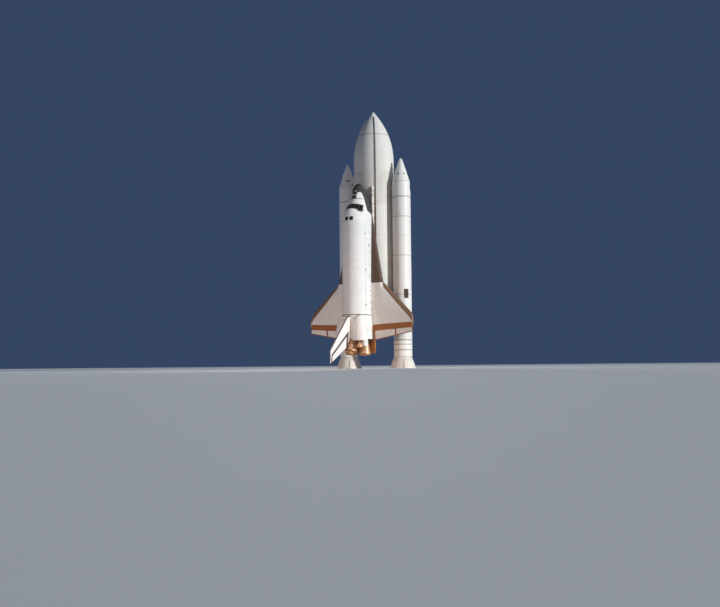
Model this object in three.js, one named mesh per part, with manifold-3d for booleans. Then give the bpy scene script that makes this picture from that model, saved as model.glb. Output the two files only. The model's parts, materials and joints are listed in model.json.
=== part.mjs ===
// A space shuttle launch stack, standing on the skirts of its two boosters: a winged orbiter,
// a large external tank and two solid rocket boosters, as a scale model at 1:2.
// Everything is written at full size in millimetres, and the root group halves it.
//
// Axes: +Z up and towards the noses, +X towards the orbiter's right wing, -Y towards the orbiter's
// back, so the tank and boosters lie at +Y of the orbiter.
// Real stations are in inches along the stack, as such vehicles are drawn:
//   XT counts down the tank, XB down a booster, XO down the orbiter, and ZO is height in the orbiter.

import * as THREE from "three";
import { mergeVertices } from "three/addons/utils/BufferGeometryUtils.js";
import Module from "manifold-3d";

const wasm = await Module();
wasm.setup();

const SCALE = 1 / 2;
const INCH = 25.4;
const SEAT = 0.35 / SCALE / INCH; // gap between pieces that rest on each other, in full-size inches
const RUN = 6 / SCALE / INCH; // gap round pieces that move

// Stack layout, in inches
const FLOOR_XT = 2473.6; // the booster skirts' feet, which stand on the floor
const XB_TO_XT = 543;
const XO_TO_XT = 741;
const BOOSTER_SIDE = 250.5; // booster axis from the tank axis
const ORBITER_OUT = 336.5; // orbiter reference line, ZO 400, from the tank axis
const ORBITER_ZO = 400;
const FIN_TIP_ZO = 816;
const TANK_R = 166.5;
const TANK_Y = (ORBITER_OUT + FIN_TIP_ZO - ORBITER_ZO - TANK_R) / 2; // centres the stack's depth

// External tank
const TANK_SIDES = 36;
const TANK = { tip: 322.5, cap: 371, barrel: 744.6, intertank: 852.8, hydrogen: 1123.2, dome: 2058, end: 2173 };
const OGIVE_R = 613;
const LINE_ANGLE = 23; // degrees from the orbiter side towards the right booster
const TRAY_ANGLE = 31.5;

// Boosters
const BOOSTER_R = 73;
const BOOSTER_SIDES = 24;
const BOOSTER = { tip: 200, cap: 275.4, cone: 398, skirt: 523.9, segment: 320, aftJoint: 1491.5, kick: 1837, foot: 1930.6 };
const SKIRT_BASE_R = 104.1;
const NOZZLE_EXIT_XB = 1914;

// Orbiter
const BODY_R = 105; // half width, and radius of the round back
const BAY = { front: 582, back: 1307, radius: 94 };
const DOOR_THICK = 5;
const HINGE_XO = 1387; // elevon hinge line
const FLAP_XO = 1532; // body flap hinge line

// Inch points to millimetres
const tank = (xt) => (FLOOR_XT - xt) * INCH;
const inches = (...v) => new THREE.Vector3(...v).multiplyScalar(INCH);
// A point of the orbiter from its stations, in the orbiter group's own frame
const orb = (xo, yo, zo) => inches(yo, ORBITER_ZO - zo, -xo);

const RIGHT = new THREE.Vector3(1, 0, 0);
const NOSE = new THREE.Vector3(0, 0, 1);

// Colours
const paint = (color, roughness = 0.6, metalness = 0) => new THREE.MeshStandardMaterial({ color, roughness, metalness });
const WHITE_TANK = paint(0xd9d6cf, 0.7);
const WHITE_BOOSTER = paint(0xe2e0da, 0.55);
const WHITE_TILE = paint(0xe8e8e6, 0.6);
const BLACK_TILE = paint(0x26262a, 0.7);
const NOZZLE = paint(0x4a3d36, 0.5, 0.6);
const GLASS = paint(0x14181c, 0.1);

// Solids
const asSolid = (geometry) => {
  const bare = geometry.index ? geometry.toNonIndexed() : geometry.clone();
  bare.deleteAttribute("normal");
  bare.deleteAttribute("uv");
  const merged = mergeVertices(bare, 1e-2);
  const faces = new Uint32Array(merged.index.array);
  const shut = () =>
    new wasm.Manifold(new wasm.Mesh({ numProp: 3, vertProperties: merged.attributes.position.array, triVerts: faces }));
  let solid = shut();
  if (solid.volume() < 0) {
    faces.reverse();
    solid = shut();
  }
  if (!(solid.volume() > 0)) throw new Error("a solid has no inside");
  return solid;
};

// Joined and cut solids can hold slivers: edges of no length are closed up, and a face of no height
// shares its long side's neighbour out again.
const LEAST = 0.08;

const withoutSlivers = (points, faces) => {
  const at = (i) => new THREE.Vector3().fromArray(points, i * 3);
  const size = points.length / 3;
  for (let pass = 0; pass < 40; pass++) {
    const short = faces.flatMap((f) => f.map((a, k) => [a, f[(k + 1) % 3]])).find(([a, b]) => at(a).distanceTo(at(b)) < LEAST);
    if (short) {
      const same = new Map();
      const end = (i) => (same.has(i) ? end(same.get(i)) : i);
      for (const f of faces)
        for (let k = 0; k < 3; k++) {
          const [a, b] = [end(f[k]), end(f[(k + 1) % 3])];
          if (a !== b && at(a).distanceTo(at(b)) < LEAST) same.set(b, a);
        }
      faces = faces.map((f) => f.map(end)).filter(([a, b, c]) => a !== b && b !== c && c !== a);
    }
    const owner = new Map(faces.flatMap((f, i) => f.map((a, k) => [a * size + f[(k + 1) % 3], i])));
    const touched = new Set();
    let flips = 0;
    faces.forEach((f, i) => {
      if (touched.has(i)) return;
      const sides = f.map((a, k) => at(a).distanceTo(at(f[(k + 1) % 3])));
      const k = sides.indexOf(Math.max(...sides));
      const [a, b, v] = [f[k], f[(k + 1) % 3], f[(k + 2) % 3]];
      const height = at(b).sub(at(a)).cross(at(v).sub(at(a))).length() / sides[k];
      const j = owner.get(b * size + a);
      if (height > LEAST || j === undefined || touched.has(j)) return;
      const c = faces[j].find((x) => x !== a && x !== b);
      if (owner.has(v * size + c) || owner.has(c * size + v)) return;
      faces[i] = [v, a, c];
      faces[j] = [c, b, v];
      touched.add(i).add(j);
      flips++;
    });
    if (!short && !flips) break;
  }
  return faces;
};

const asGeometry = (solid) => {
  const made = solid.getMesh();
  const faces = Array.from({ length: made.triVerts.length / 3 }, (_, i) => [...made.triVerts.slice(3 * i, 3 * i + 3)]);
  const geometry = new THREE.BufferGeometry();
  geometry.setAttribute("position", new THREE.BufferAttribute(made.vertProperties, 3));
  geometry.setIndex(withoutSlivers(made.vertProperties, faces).flat());
  geometry.computeVertexNormals();
  return geometry;
};

const union = (...solids) => solids.reduce((a, b) => a.add(b));
const cut = (solid, ...tools) => tools.reduce((a, b) => a.subtract(b), solid);

// Turns about the Z axis: profile points are [radius, station], and toZ turns a station into a height
const lathe = (profile, toZ, sides) => {
  const points = profile.map(([r, s]) => new THREE.Vector2(r * INCH, toZ(s)));
  return asSolid(new THREE.LatheGeometry(points, sides).rotateX(Math.PI / 2).rotateZ(-Math.PI / 2));
};

// A closed skin over rings of points that all have the same count and run the same way round
const loft = (rings) => {
  const count = rings[0].length;
  const position = rings.flat().flatMap((p) => [p.x, p.y, p.z]);
  const index = [];
  for (let k = 0; k + 1 < rings.length; k++)
    for (let i = 0; i < count; i++) {
      const a = k * count + i;
      const b = k * count + ((i + 1) % count);
      index.push(a, b, b + count, a, b + count, a + count);
    }
  const cap = (ring, start, flip) => {
    const normal = new THREE.Vector3();
    ring.forEach((p, i) => normal.add(p.clone().cross(ring[(i + 1) % count])));
    const side = ring[1].clone().sub(ring[0]).normalize();
    const up = normal.normalize().clone().cross(side);
    const flat = ring.map((p) => new THREE.Vector2(p.dot(side), p.dot(up)));
    for (const face of THREE.ShapeUtils.triangulateShape(flat, [])) {
      const [a, b, c] = face.map((i) => start + i);
      index.push(...(flip ? [a, c, b] : [a, b, c]));
    }
  };
  cap(rings[0], 0, true);
  cap(rings.at(-1), (rings.length - 1) * count, false);
  const geometry = new THREE.BufferGeometry();
  geometry.setAttribute("position", new THREE.Float32BufferAttribute(position, 3));
  geometry.setIndex(index);
  return asSolid(geometry);
};

const box = (from, to) => {
  const low = from.clone().min(to);
  const high = from.clone().max(to);
  const size = high.clone().sub(low);
  const middle = low.clone().add(high).multiplyScalar(0.5);
  return asSolid(new THREE.BoxGeometry(size.x, size.y, size.z).translate(middle.x, middle.y, middle.z));
};

// A round bar from point to point, or a cone where the second radius differs; radii in inches
const bar = (from, to, r1, r2 = r1, sides = 10) => {
  const along = to.clone().sub(from);
  const geometry = new THREE.CylinderGeometry(r2 * INCH, r1 * INCH, along.length(), sides);
  const turn = new THREE.Quaternion().setFromUnitVectors(new THREE.Vector3(0, 1, 0), along.normalize());
  const middle = from.clone().add(to).multiplyScalar(0.5);
  return asSolid(geometry.applyQuaternion(turn).translate(middle.x, middle.y, middle.z));
};

const ball = (centre, r) => asSolid(new THREE.SphereGeometry(r * INCH, 10, 6).translate(centre.x, centre.y, centre.z));

// A flat plate: the outline's points are in the plane of two axes and it is extruded along the third
const plate = (outline, depth, place) => {
  const shape = new THREE.Shape(outline.map(([a, b]) => new THREE.Vector2(a * INCH, b * INCH)));
  const geometry = new THREE.ExtrudeGeometry(shape, { depth: depth * INCH, bevelEnabled: false });
  return asSolid(geometry.applyMatrix4(place));
};

const group = (name, x = 0, y = 0, z = 0) => {
  const made = new THREE.Group();
  made.name = name;
  made.position.set(x, y, z);
  return made;
};

const piece = (parent, name, solid, material) => {
  const mesh = new THREE.Mesh(asGeometry(solid), material);
  mesh.name = name;
  parent.add(mesh);
  return mesh;
};

// A moving piece in a group that sits on its hinge. Its axis and limits in degrees are kept with the group.
const hinged = (parent, name, solid, material, at, axis, limits) => {
  const joint = group(`${name}_joint`, at.x, at.y, at.z);
  joint.userData = { axis: axis.toArray(), limits };
  parent.add(joint);
  piece(joint, name, solid, material).position.copy(at).negate();
  return joint;
};

const turned = (degrees) => new THREE.Matrix4().makeRotationZ(THREE.MathUtils.degToRad(degrees));
const moved = (solid, matrix) => solid.transform(matrix.elements);

// External tank

const ogiveRadius = (xt) => TANK_R - OGIVE_R + Math.sqrt(OGIVE_R ** 2 - (TANK.barrel - xt) ** 2);

// The tank's outline from its tip to its aft dome, grown by some inches
const tankProfile = (from, to, grown = 0) => {
  const points = [];
  if (from === TANK.tip) {
    points.push([0, TANK.tip - grown], [4 + grown, TANK.tip + 2 - grown]);
    const steps = 9;
    for (let i = 0; i <= steps; i++) {
      const xt = THREE.MathUtils.lerp(TANK.cap, TANK.barrel, i / steps);
      points.push([ogiveRadius(xt) + grown, xt]);
    }
  } else points.push([0, from], [TANK_R + grown, from]);
  if (to === TANK.end) {
    const steps = 6;
    for (let i = 0; i < steps; i++) {
      const angle = (i / steps) * (Math.PI / 2);
      points.push([(TANK_R + grown) * Math.cos(angle), TANK.dome + (TANK.end - TANK.dome + grown) * Math.sin(angle)]);
    }
    points.push([0, TANK.end + grown]);
  } else points.push([TANK_R + grown, to], [0, to]);
  return points;
};

// The stack's tank as one body, grown by the seat gap, to cut what rests on it
const tankEnvelope = lathe(tankProfile(TANK.tip, TANK.end, SEAT), tank, TANK_SIDES);

// A long strip that follows the tank's outline from station to station, at an angle round the tank
const tankStrip = (from, to, height, width, angle) => {
  const stations = [];
  const steps = 10;
  for (let i = 0; i <= steps; i++) if (from < TANK.barrel) stations.push(THREE.MathUtils.lerp(from, TANK.barrel, i / steps));
  if (from >= TANK.barrel) stations.push(from);
  stations.push(to);
  const radiusAt = (xt) => (xt < TANK.barrel ? ogiveRadius(xt) : TANK_R);
  const outer = stations.map((xt) => [radiusAt(xt) + height, FLOOR_XT - xt]);
  const inner = stations.map((xt) => [radiusAt(xt) - 2, FLOOR_XT - xt]).reverse();
  const upright = new THREE.Matrix4().makeRotationX(Math.PI / 2).setPosition(0, (width / 2) * INCH, 0);
  const strip = plate([...outer, ...inner], width, upright);
  return cut(moved(strip, turned(angle - 90)), tankEnvelope);
};

const onTank = (angle, radius, xt) => {
  const a = THREE.MathUtils.degToRad(angle);
  return new THREE.Vector3(radius * Math.sin(a) * INCH, -radius * Math.cos(a) * INCH, tank(xt));
};

const chain = (points, radius, sides = 10) =>
  union(
    ...points.slice(1).map((p, i) => bar(points[i], p, radius, radius, sides)),
    ...points.slice(1, -1).map((p) => ball(p, radius)),
  );

// The feed line from the intertank to the right umbilical, grown by some inches
const LINE_R = 9.5;
const LINE_OUT = TANK_R + LINE_R + 5;
const feedLine = (grown) =>
  chain(
    [
      onTank(LINE_ANGLE, 150, 985), onTank(LINE_ANGLE, LINE_OUT, 1000), onTank(LINE_ANGLE, LINE_OUT, 2000),
      inches(70, -188, 0).setZ(tank(2040 + grown)),
    ],
    LINE_R + grown,
  );

function buildTank() {
  const made = group("external_tank");
  piece(made, "oxygen_tank", lathe(tankProfile(TANK.tip, TANK.intertank - SEAT), tank, TANK_SIDES), WHITE_TANK);
  piece(made, "hydrogen_tank", lathe(tankProfile(TANK.hydrogen + SEAT, TANK.end), tank, TANK_SIDES), WHITE_TANK);

  const pad = (side) =>
    box(inches(side * 160, -13, 0).setZ(tank(967)), inches(side * (BOOSTER_SIDE - BOOSTER_R - SEAT), 13, 0).setZ(tank(1004)));
  const ring = lathe(tankProfile(TANK.intertank, TANK.hydrogen), tank, TANK_SIDES);
  const boosterFace = (side) =>
    moved(
      lathe([[0, 900], [BOOSTER_R + SEAT, 900], [BOOSTER_R + SEAT, 1100], [0, 1100]], tank, BOOSTER_SIDES),
      new THREE.Matrix4().makeTranslation(side * BOOSTER_SIDE * INCH, 0, 0),
    );
  piece(made, "intertank", cut(union(ring, pad(1), pad(-1)), boosterFace(1), boosterFace(-1)), WHITE_TANK);

  const brackets = [1130, 1470, 1810].map((xt) => bar(onTank(LINE_ANGLE, 160, xt), onTank(LINE_ANGLE, LINE_OUT, xt), 5));
  piece(made, "oxygen_feed_line", cut(union(feedLine(0), ...brackets), tankEnvelope), WHITE_TANK);
  piece(made, "cable_tray_right", tankStrip(376, 2026, 7, 9, TRAY_ANGLE), WHITE_TANK);
  piece(made, "gas_line_left", tankStrip(1126, 2026, 5, 6, -TRAY_ANGLE), WHITE_TANK);
  return made;
}

// Boosters

const booster = (xb) => tank(xb + XB_TO_XT);

const ringed = (from, to, rings) => {
  const points = [[0, from + SEAT / 2], [BOOSTER_R, from + SEAT / 2]];
  for (const { at, half, out } of rings) {
    const flat = half < 3 ? [0] : [-half * 0.6, half * 0.6];
    points.push([BOOSTER_R, at - half], ...flat.map((d) => [BOOSTER_R + out, at + d]), [BOOSTER_R, at + half]);
  }
  points.push([BOOSTER_R, to - SEAT / 2], [0, to - SEAT / 2]);
  return lathe(points, booster, BOOSTER_SIDES);
};

// A covered tunnel along each motor on its outer side, in one length for each segment
const TUNNEL = { front: 470, angle: 125, wide: 13, out: 6 };
const STIFFENERS = [1702, 1737, 1783];

const tunnel = (side, from, to) =>
  moved(
    box(
      inches(-TUNNEL.wide / 2, -BOOSTER_R - TUNNEL.out, 0).setZ(booster(from + SEAT / 2)),
      inches(TUNNEL.wide / 2, -BOOSTER_R + 4, 0).setZ(booster(to - SEAT / 2)),
    ),
    turned(side * TUNNEL.angle),
  );

function buildBooster(side) {
  const word = side > 0 ? "right" : "left";
  const made = group(`booster_${word}`, side * BOOSTER_SIDE * INCH, 0, 0);
  const named = (name) => `booster_${word}_${name}`;
  piece(
    made,
    named("nose"),
    lathe(
      [[0, BOOSTER.tip], [6, BOOSTER.tip + 3], [12, BOOSTER.tip + 12], [34, BOOSTER.cap],
       [BOOSTER_R, BOOSTER.cone - SEAT / 2], [0, BOOSTER.cone - SEAT / 2]],
      booster,
      BOOSTER_SIDES,
    ),
    WHITE_BOOSTER,
  );
  const skirt = union(ringed(BOOSTER.cone, BOOSTER.skirt, []), tunnel(side, TUNNEL.front, BOOSTER.skirt));
  piece(made, named("forward_skirt"), skirt, WHITE_BOOSTER);

  const segments = ["forward", "forward_centre", "aft_centre", "aft"];
  segments.forEach((name, i) => {
    const to = i === 3 ? BOOSTER.kick : BOOSTER.aftJoint - (2 - i) * BOOSTER.segment;
    const from = i === 0 ? BOOSTER.skirt : BOOSTER.aftJoint - (3 - i) * BOOSTER.segment;
    const rings =
      i === 3
        ? [{ at: 1511, half: 7, out: 4 }, ...STIFFENERS.map((xb) => ({ at: xb, half: 1.5, out: 3 }))]
        : [{ at: to - 8, half: 2.8, out: 1 }];
    piece(made, named(`${name}_segment`), union(ringed(from, to, rings), tunnel(side, from, to)), WHITE_BOOSTER);
  });

  piece(made, named("aft_skirt"), buildAftSkirt(), WHITE_BOOSTER);
  hinged(made, named("nozzle"), buildBoosterNozzle(), NOZZLE, inches(0, 0, 0).setZ(booster(NOZZLE_PIVOT_XB)), RIGHT, NOZZLE_LIMITS);
  return made;
}

const NOZZLE_PIVOT_XB = 1862;
const NOZZLE_LIMITS = [-8, 8];
const NOZZLE_TRUNNION = 40; // half the width across the nozzle's collar
const PIN = 1.45;
const PIN_SIDES = 12;
const onPivot = (x) => inches(x, 0, 0).setZ(booster(NOZZLE_PIVOT_XB));
const boreFor = (pin) => pin / Math.cos(Math.PI / PIN_SIDES) + 0.025; // clears the pin's corners as it turns

function buildAftSkirt() {
  const wall = 3;
  const top = BOOSTER.kick + SEAT / 2;
  const shell = lathe(
    [[0, top], [BOOSTER_R, top], [SKIRT_BASE_R, BOOSTER.foot - 8], [SKIRT_BASE_R, BOOSTER.foot], [SKIRT_BASE_R - 5, BOOSTER.foot],
     [SKIRT_BASE_R - 6, BOOSTER.foot - 10], [BOOSTER_R - wall, top + 6], [0, top + 6]],
    booster,
    BOOSTER_SIDES,
  );
  const feet = [35, 145, 215, 325].map((angle) => {
    const a = THREE.MathUtils.degToRad(angle);
    const block = box(inches(-9, -8, 0).setZ(booster(BOOSTER.foot)), inches(9, 12, 0).setZ(booster(BOOSTER.foot - 14)));
    const place = turned(angle).setPosition(Math.sin(a) * -(SKIRT_BASE_R - 4) * -INCH, -Math.cos(a) * (SKIRT_BASE_R - 4) * INCH, 0);
    return moved(block, place);
  });
  const lugs = [1, -1].map((s) => {
    const arm = box(
      inches(s * (NOZZLE_TRUNNION + 1), -6, 0).setZ(booster(NOZZLE_PIVOT_XB + 5)),
      inches(s * (NOZZLE_TRUNNION + 6), 6, 0).setZ(booster(top + 4)),
    );
    const pin = bar(onPivot(s * (NOZZLE_TRUNNION - 6)), onPivot(s * (NOZZLE_TRUNNION + 4)), PIN, PIN, PIN_SIDES);
    return union(arm, pin);
  });
  return union(shell, ...feet, ...lugs);
}

function buildBoosterNozzle() {
  const wall = 4;
  const profile = [
    [28, NOZZLE_PIVOT_XB - 10], [NOZZLE_TRUNNION - 8, NOZZLE_PIVOT_XB - 10],
    [NOZZLE_TRUNNION - 8, NOZZLE_PIVOT_XB + 8], [44, NOZZLE_PIVOT_XB + 24],
    [64, NOZZLE_EXIT_XB], [64 - wall, NOZZLE_EXIT_XB], [40, NOZZLE_PIVOT_XB + 24], [28, NOZZLE_PIVOT_XB + 6], [28, NOZZLE_PIVOT_XB - 10],
  ];
  const bell = lathe(profile, booster, 16);
  const bosses = [1, -1].map((s) =>
    bar(onPivot(s * (NOZZLE_TRUNNION - 9)), onPivot(s * NOZZLE_TRUNNION), 6, 6, 16),
  );
  const bores = [1, -1].map((s) =>
    bar(onPivot(s * (NOZZLE_TRUNNION - 8)), onPivot(s * (NOZZLE_TRUNNION + 1)), boreFor(PIN), boreFor(PIN), PIN_SIDES),
  );
  const [above, below] = [NOZZLE_PIVOT_XB - 12, NOZZLE_PIVOT_XB + 6];
  const throat = lathe([[0, above], [27, above], [27, below], [0, below]], booster, 16);
  return cut(union(bell, ...bosses), ...bores, throat);
}

// Hinges

// A solid turned by some degrees about an axis through a point
const spun = (solid, at, along, degrees) => {
  const turn = new THREE.Matrix4().makeRotationAxis(along, THREE.MathUtils.degToRad(degrees));
  const matrix = new THREE.Matrix4().makeTranslation(at.x, at.y, at.z).multiply(turn);
  return moved(solid, matrix.multiply(new THREE.Matrix4().makeTranslation(-at.x, -at.y, -at.z)));
};

// The room a solid takes as it turns through a range, with steps close enough to leave no ridge
const swept = (solid, at, along, from, to, step = 12) => {
  const steps = Math.max(1, Math.ceil((to - from) / step));
  const turns = Array.from({ length: steps + 1 }, (_, i) => spun(solid, at, along, from + ((to - from) * i) / steps));
  return union(...turns);
};

const DRUM_SIDES = 8;
const DRUM_FLAT = Math.cos(Math.PI / DRUM_SIDES); // a drum turned in its room meets the room's flats with its corners

// One hinge station: a lug with a pin through it on the fixed piece, between two eyes on the moving one.
// Sizes in inches: lug and eye width along the axis, radius round the pin, and each arm's reach.
function hingeSet({ at, along, fixedArm, movingArm, radius, pin, lug, eye, fixedReach, movingReach }) {
  const gap = 0.25;
  const frame = (out) => new THREE.Matrix4().makeBasis(along, out, along.clone().cross(out)).setPosition(at);
  const drum = (middle, width, r) =>
    moved(bar(inches(middle - width / 2, 0, 0), inches(middle + width / 2, 0, 0), r, r, DRUM_SIDES), frame(fixedArm));
  const block = (middle, width, out, reach, half) =>
    moved(box(inches(middle - width / 2, 0, -half), inches(middle + width / 2, reach, half)), frame(out));
  const rod = (half, r) => moved(bar(inches(-half, 0, 0), inches(half, 0, 0), r, r, PIN_SIDES), frame(fixedArm));
  const eyeMiddle = lug / 2 + gap + eye / 2;
  const both = (make) => union(make(eyeMiddle), make(-eyeMiddle));
  const half = radius * 0.8;
  return {
    lug: union(drum(0, lug, radius), block(0, lug, fixedArm, fixedReach, half), rod(lug / 2 + gap + eye * 0.8, pin)),
    lugDrum: drum(0, lug + 2 * gap, Math.max(radius + RUN, (radius + RUN / 2) / DRUM_FLAT)),
    lugArm: block(0, lug + 2 * gap, fixedArm, fixedReach + 4, half + RUN / 2),
    eyes: both((m) => union(drum(m, eye, radius), block(m, eye, movingArm, movingReach, half))),
    eyesRoom: both((m) => union(drum(m, eye + 2 * RUN, radius + RUN), block(m, eye + 2 * RUN, movingArm, movingReach + 2, half + RUN))),
    eyeDrums: both((m) => drum(m, eye + 2 * RUN, radius + RUN)),
    bore: rod(lug / 2 + gap + eye * 0.8 + 0.3, boreFor(pin)),
  };
}

// Orbiter body: half width, height of its widest line, top, belly, and how square its belly is
const BODY = [
  { xo: 236, half: 2, wide: 340, top: 342, belly: 338, square: 2 },
  { xo: 239, half: 11, wide: 340, top: 351, belly: 329, square: 2 },
  { xo: 247, half: 22, wide: 338, top: 361, belly: 319, square: 2.1 },
  { xo: 262, half: 34, wide: 334, top: 373, belly: 308, square: 2.3 },
  { xo: 285, half: 46, wide: 327, top: 386, belly: 297, square: 2.8 },
  { xo: 320, half: 58, wide: 320, top: 401, belly: 287, square: 3.4 },
  { xo: 360, half: 69, wide: 316, top: 416, belly: 280, square: 4 },
  { xo: 400, half: 79, wide: 315, top: 430, belly: 276, square: 4.6 },
  { xo: 416, half: 82, wide: 315, top: 437, belly: 275, square: 4.8 },
  { xo: 438, half: 87, wide: 318, top: 465, belly: 274, square: 5 },
  { xo: 460, half: 92, wide: 323, top: 486, belly: 273, square: 5 },
  { xo: 485, half: 98, wide: 334, top: 497, belly: 272, square: 5 },
  { xo: 525, half: 103, wide: 362, top: 503, belly: 271, square: 5 },
  { xo: 582, half: 105, wide: 400, top: 505, belly: 270, square: 5 },
  { xo: 1307, half: 105, wide: 400, top: 505, belly: 270, square: 5 },
  { xo: 1400, half: 110, wide: 400, top: 505, belly: 271, square: 5 },
  { xo: 1500, half: 118, wide: 400, top: 499, belly: 275, square: 5 },
];
const BODY_POINTS = 24;

const bodyAt = (xo) => {
  const next = Math.max(1, BODY.findIndex((row) => row.xo >= xo));
  const [a, b] = [BODY[next - 1], BODY[next]];
  const t = (xo - a.xo) / (b.xo - a.xo);
  return Object.fromEntries(Object.keys(a).map((key) => [key, a[key] + (b[key] - a[key]) * t]));
};

// A point on the body's skin at an angle round it, 0 on the right side and 90 on its back
const skin = (xo, degrees, inset = 0) => {
  const row = bodyAt(xo);
  const a = THREE.MathUtils.degToRad(degrees);
  const power = (v, n) => Math.sign(v) * Math.abs(v) ** (2 / n);
  const over = Math.sin(a) >= 0;
  const n = over ? 2 : row.square;
  const high = over ? row.top - inset - row.wide : row.wide - row.belly - inset;
  return orb(xo, (row.half - inset) * power(Math.cos(a), n), row.wide + high * power(Math.sin(a), n));
};

const bodyRing = (xo, inset = 0) =>
  Array.from({ length: BODY_POINTS }, (_, i) => skin(xo, (360 * i) / BODY_POINTS, inset));

const bodyPart = (from, to, inset = 0) => {
  const stations = BODY.map((row) => row.xo).filter((xo) => xo > from + 0.5 && xo < to - 0.5);
  return loft([from, ...stations, to].map((xo) => bodyRing(xo, inset)));
};

// Windows: [front station, aft station, first angle, last angle] on the right side
const WINDSHIELD = [
  { front: 420, aft: 452, from: 71, to: 88 },
  { front: 423, aft: 456, from: 53, to: 68 },
  { front: 432, aft: 468, from: 36, to: 49 },
];
const OVERHEAD = { front: 527, aft: 553, from: 72, to: 85 };
const WALL = 5;

const windowCut = (front, aft, from, to) => {
  const corners = [[front, from], [aft, from], [aft, to], [front, to]];
  return loft([-6, 16].map((inset) => corners.map(([xo, angle]) => skin(xo, angle, inset))));
};

// A strip of glass just inside the skin, from station to station and above a height
const glassBand = (front, aft, above) => {
  const out = bodyPart(384, 576, WALL + 2 * SEAT);
  return cut(out, bodyPart(384, 576, WALL + 2 * SEAT + 1.5)).intersect(box(orb(front, -200, above), orb(aft, 200, 600)));
};

const HATCH = { xo: 468, zo: 350, r: 20, limits: [0, 90] };

function buildForwardBody() {
  const made = group("forward_body");
  piece(made, "nose_cap", bodyPart(236, 258 - SEAT / 2), BLACK_TILE);
  const sides = [1, -1];
  const windows = [...WINDSHIELD, OVERHEAD].flatMap(({ front, aft, from, to }) =>
    sides.map((s) => (s > 0 ? windowCut(front, aft, from, to) : windowCut(front, aft, 180 - to, 180 - from))),
  );
  const rear = sides.map((s) => box(orb(570, s * 8, 455), orb(590, s * 26, 475)));
  const hatchHole = bar(orb(HATCH.xo, -130, HATCH.zo), orb(HATCH.xo, -80, HATCH.zo), HATCH.r, HATCH.r, 24);
  const shell = cut(bodyPart(258 + SEAT / 2, 582), bodyPart(384, 576, WALL), ...windows, ...rear, hatchHole);

  const row = bodyAt(HATCH.xo);
  const at = orb(HATCH.xo, -row.half - 2.2, HATCH.zo - HATCH.r - 5);
  const hinge = hingeSet({
    at, along: new THREE.Vector3(0, 0, 1), fixedArm: new THREE.Vector3(1, 0, 0), movingArm: new THREE.Vector3(0.4, -1, 0).normalize(),
    radius: 1.7, pin: 0.9, lug: 5, eye: 3, fixedReach: 5, movingReach: 9,
  });
  piece(made, "forward_fuselage", union(cut(shell, hinge.eyesRoom), cut(hinge.lug, bodyPart(384, 576, WALL))), WHITE_TILE);

  const cover = bar(orb(HATCH.xo, -130, HATCH.zo), orb(HATCH.xo, -80, HATCH.zo), HATCH.r - 0.5, HATCH.r - 0.5, 24);
  const door = bodyPart(440, 500).intersect(cover).subtract(bodyPart(440, 500, WALL));
  const hatch = cut(union(door, hinge.eyes), hinge.lugDrum, hinge.bore, bodyPart(440, 500, WALL));
  hinged(made, "crew_hatch", hatch, WHITE_TILE, at, NOSE.clone().negate(), HATCH.limits);

  piece(made, "windshield_glass", glassBand(418, 470, 392), GLASS);
  piece(made, "overhead_glass", glassBand(OVERHEAD.front - 4, OVERHEAD.aft + 4, 478), GLASS);
  return made;
}

// Payload bay and its doors
const DOOR_EDGE = 13; // degrees round the body from its widest line to the door's lower edge
const DOOR_AXIS = { yo: 108.5, zo: 420 };
const DOOR_LIMITS = [0, 175.5];
const DOOR_HINGES = [660, 945, 1230];

const bayRound = (from, to, r, sides = 24) => bar(orb(from, 0, 400), orb(to, 0, 400), r, r, sides);

const doorHinges = (side) =>
  DOOR_HINGES.map((xo) =>
    hingeSet({
      at: orb(xo, side * DOOR_AXIS.yo, DOOR_AXIS.zo), along: new THREE.Vector3(0, 0, 1),
      fixedArm: new THREE.Vector3(-side * 0.6, 0.8, 0), movingArm: new THREE.Vector3(-side * 0.62, -0.785, 0).normalize(),
      radius: 2.4, pin: 1.3, lug: 6, eye: 4, fixedReach: 11, movingReach: 11,
    }),
  );

function buildDoor(side) {
  const skinPart = bodyPart(BAY.front + 0.5, BAY.back - 0.5);
  const lowest = 400 + BODY_R * Math.sin(THREE.MathUtils.degToRad(DOOR_EDGE));
  const half = box(orb(500, side * 0.25, lowest), orb(1400, side * 200, 600));
  const hinges = doorHinges(side);
  const shell = cut(skinPart, bodyPart(560, 1330, DOOR_THICK)).intersect(half);
  const eyes = union(...hinges.map((h) => h.eyes));
  return cut(union(shell, cut(eyes, bodyPart(560, 1330, DOOR_THICK))), ...hinges.map((h) => h.lugDrum), ...hinges.map((h) => h.bore));
}

function buildMidBody() {
  const made = group("mid_body");
  const trough = cut(
    bodyPart(BAY.front + SEAT, BAY.back - SEAT),
    bayRound(500, 1400, BAY.radius),
    box(orb(500, -200, 421), orb(1400, 200, 600)),
  );
  const hinges = [...doorHinges(1), ...doorHinges(-1)];
  const keepOut = bayRound(500, 1400, BAY.radius);
  piece(
    made,
    "mid_fuselage",
    union(
      cut(trough, ...hinges.map((h) => h.eyeDrums)),
      ...hinges.map((h) => cut(h.lug, keepOut)),
    ),
    WHITE_TILE,
  );
  for (const side of [1, -1]) {
    const word = side > 0 ? "right" : "left";
    const at = orb(DOOR_HINGES[0], side * DOOR_AXIS.yo, DOOR_AXIS.zo);
    hinged(made, `payload_door_${word}`, buildDoor(side), WHITE_TILE, at, NOSE.clone().multiplyScalar(side), DOOR_LIMITS);
  }
  return made;
}

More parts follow.
